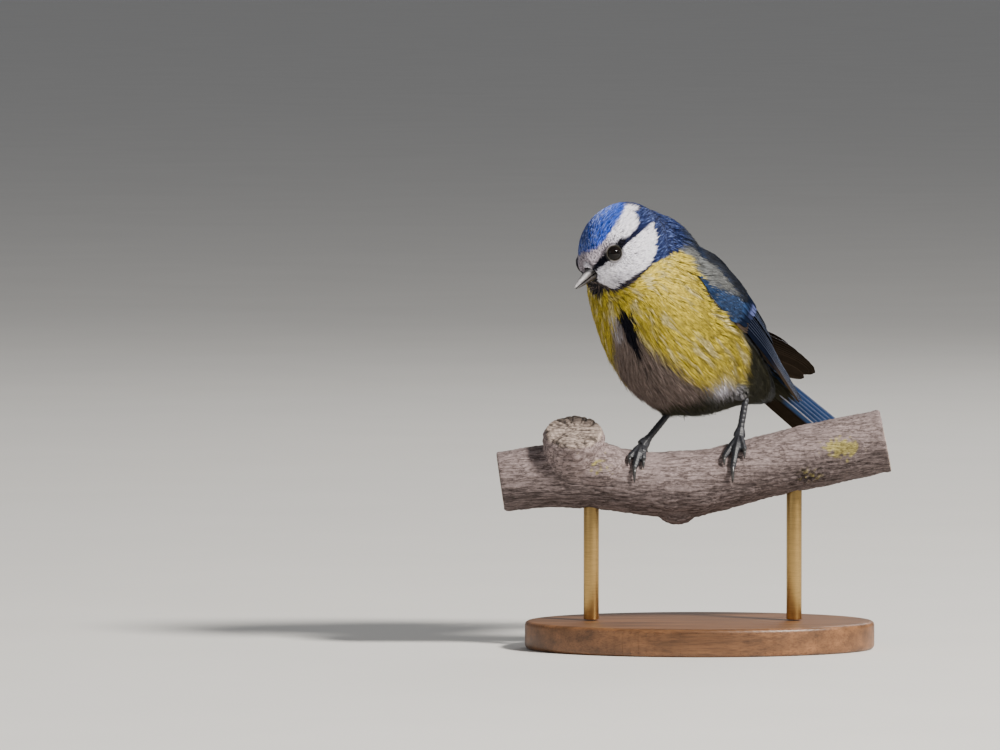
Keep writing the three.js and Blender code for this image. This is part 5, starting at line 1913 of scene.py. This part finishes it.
def soft_light(name, location, size, power, colour):
    """A round soft light turned to the model; power is in watts."""
    data = bpy.data.lights.new(name, "AREA")
    data.shape, data.size, data.energy, data.color = "DISK", size, power, colour
    lamp = bpy.data.objects.new(name, data)
    lamp.location = location
    to_model = Vector((-0.01, -0.005, 0.08)) - Vector(location)
    lamp.rotation_euler = to_model.to_track_quat("-Z", "Y").to_euler()
    lamp.visible_camera = False
    bpy.context.scene.collection.objects.link(lamp)


def floor_material(tone):
    recipe = Recipe("pale floor")
    cloud = recipe.ramp(recipe.noise(12, detail=3), (0.3, tone * 0.97), (0.7, tone))
    recipe.surface({"Base Color": cloud, "Roughness": 0.85, "Specular IOR Level": 0.2})
    return recipe.material


class BLUETIT_OT_stage(bpy.types.Operator):
    """Pale floor, soft studio light and the camera"""

    bl_idname = "bluetit.stage"
    bl_label = "Stage"

    def execute(self, context):
        deselect()
        bpy.ops.mesh.primitive_circle_add(
            vertices=128, radius=FLOOR_RADIUS, fill_type="NGON", location=(0, 0, 0),
        )
        floor = bpy.context.object
        floor.name = floor.data.name = "floor"
        floor.data.materials.append(floor_material(np.array(context.scene.bluetit_perch.floor)))

        soft_light("key light", (1.25, -0.95, 1.35), 0.35, 88, (1.0, 0.96, 0.9))
        soft_light("fill light", (-1.2, -0.9, 0.6), 1.0, 1.6, (0.93, 0.96, 1.0))
        soft_light("back light", (0.5, 1.2, 0.9), 0.8, 5, (1.0, 0.98, 0.95))
        world = bpy.data.worlds.new("studio")
        world.use_nodes = True
        background = world.node_tree.nodes["Background"]
        background.inputs["Color"].default_value = (0.86, 0.88, 0.92, 1)
        background.inputs["Strength"].default_value = 0.23
        context.scene.world = world

        data = bpy.data.cameras.new("camera")
        data.sensor_width, data.lens = SENSOR, LENS
        data.clip_start, data.clip_end = 0.1, 50
        camera = bpy.data.objects.new("camera", data)
        aim, elevation = Vector(CAMERA_AIM), math.radians(CAMERA_ELEVATION)
        camera.location = aim + Vector((0, -math.cos(elevation), math.sin(elevation))) * CAMERA_DISTANCE
        camera.rotation_euler = (aim - camera.location).to_track_quat("-Z", "Y").to_euler()
        context.scene.collection.objects.link(camera)
        context.scene.camera = camera
        return {"FINISHED"}


class BLUETIT_PT_panel(bpy.types.Panel):
    """The model's steps and settings"""

    bl_idname = "BLUETIT_PT_panel"
    bl_label = "Blue Tit"
    bl_space_type = "VIEW_3D"
    bl_region_type = "UI"
    bl_category = "Blue Tit"

    def draw(self, context):
        scene = context.scene
        for step in STEPS:
            self.layout.operator(step.bl_idname)
        for group in (scene.bluetit_plumage, scene.bluetit_feathers, scene.bluetit_perch):
            box = self.layout.box()
            for key in group.bl_rna.properties.keys():
                if key not in ("rna_type", "name"):
                    box.prop(group, key)


STEPS = (
    BLUETIT_OT_skin, BLUETIT_OT_coat, BLUETIT_OT_wings, BLUETIT_OT_tail, BLUETIT_OT_bill, BLUETIT_OT_eyes,
    BLUETIT_OT_legs, BLUETIT_OT_branch, BLUETIT_OT_stand, BLUETIT_OT_stage,
)
CLASSES = (BLUETIT_PG_plumage, BLUETIT_PG_feathers, BLUETIT_PG_perch, *STEPS, BLUETIT_PT_panel)


def register():
    for cls in CLASSES:
        bpy.utils.register_class(cls)
    bpy.types.Scene.bluetit_plumage = PointerProperty(type=BLUETIT_PG_plumage)
    bpy.types.Scene.bluetit_feathers = PointerProperty(type=BLUETIT_PG_feathers)
    bpy.types.Scene.bluetit_perch = PointerProperty(type=BLUETIT_PG_perch)


def unregister():
    del bpy.types.Scene.bluetit_plumage, bpy.types.Scene.bluetit_feathers, bpy.types.Scene.bluetit_perch
    for cls in reversed(CLASSES):
        bpy.utils.unregister_class(cls)


def main():
    register()
    bpy.ops.bluetit.skin()
    bpy.ops.bluetit.coat()
    bpy.ops.bluetit.wings()
    bpy.ops.bluetit.tail()
    bpy.ops.bluetit.bill()
    bpy.ops.bluetit.eyes()
    bpy.ops.bluetit.legs()
    bpy.ops.bluetit.branch()
    bpy.ops.bluetit.stand()
    bpy.ops.bluetit.stage()


if __name__ == "__main__":
    main()
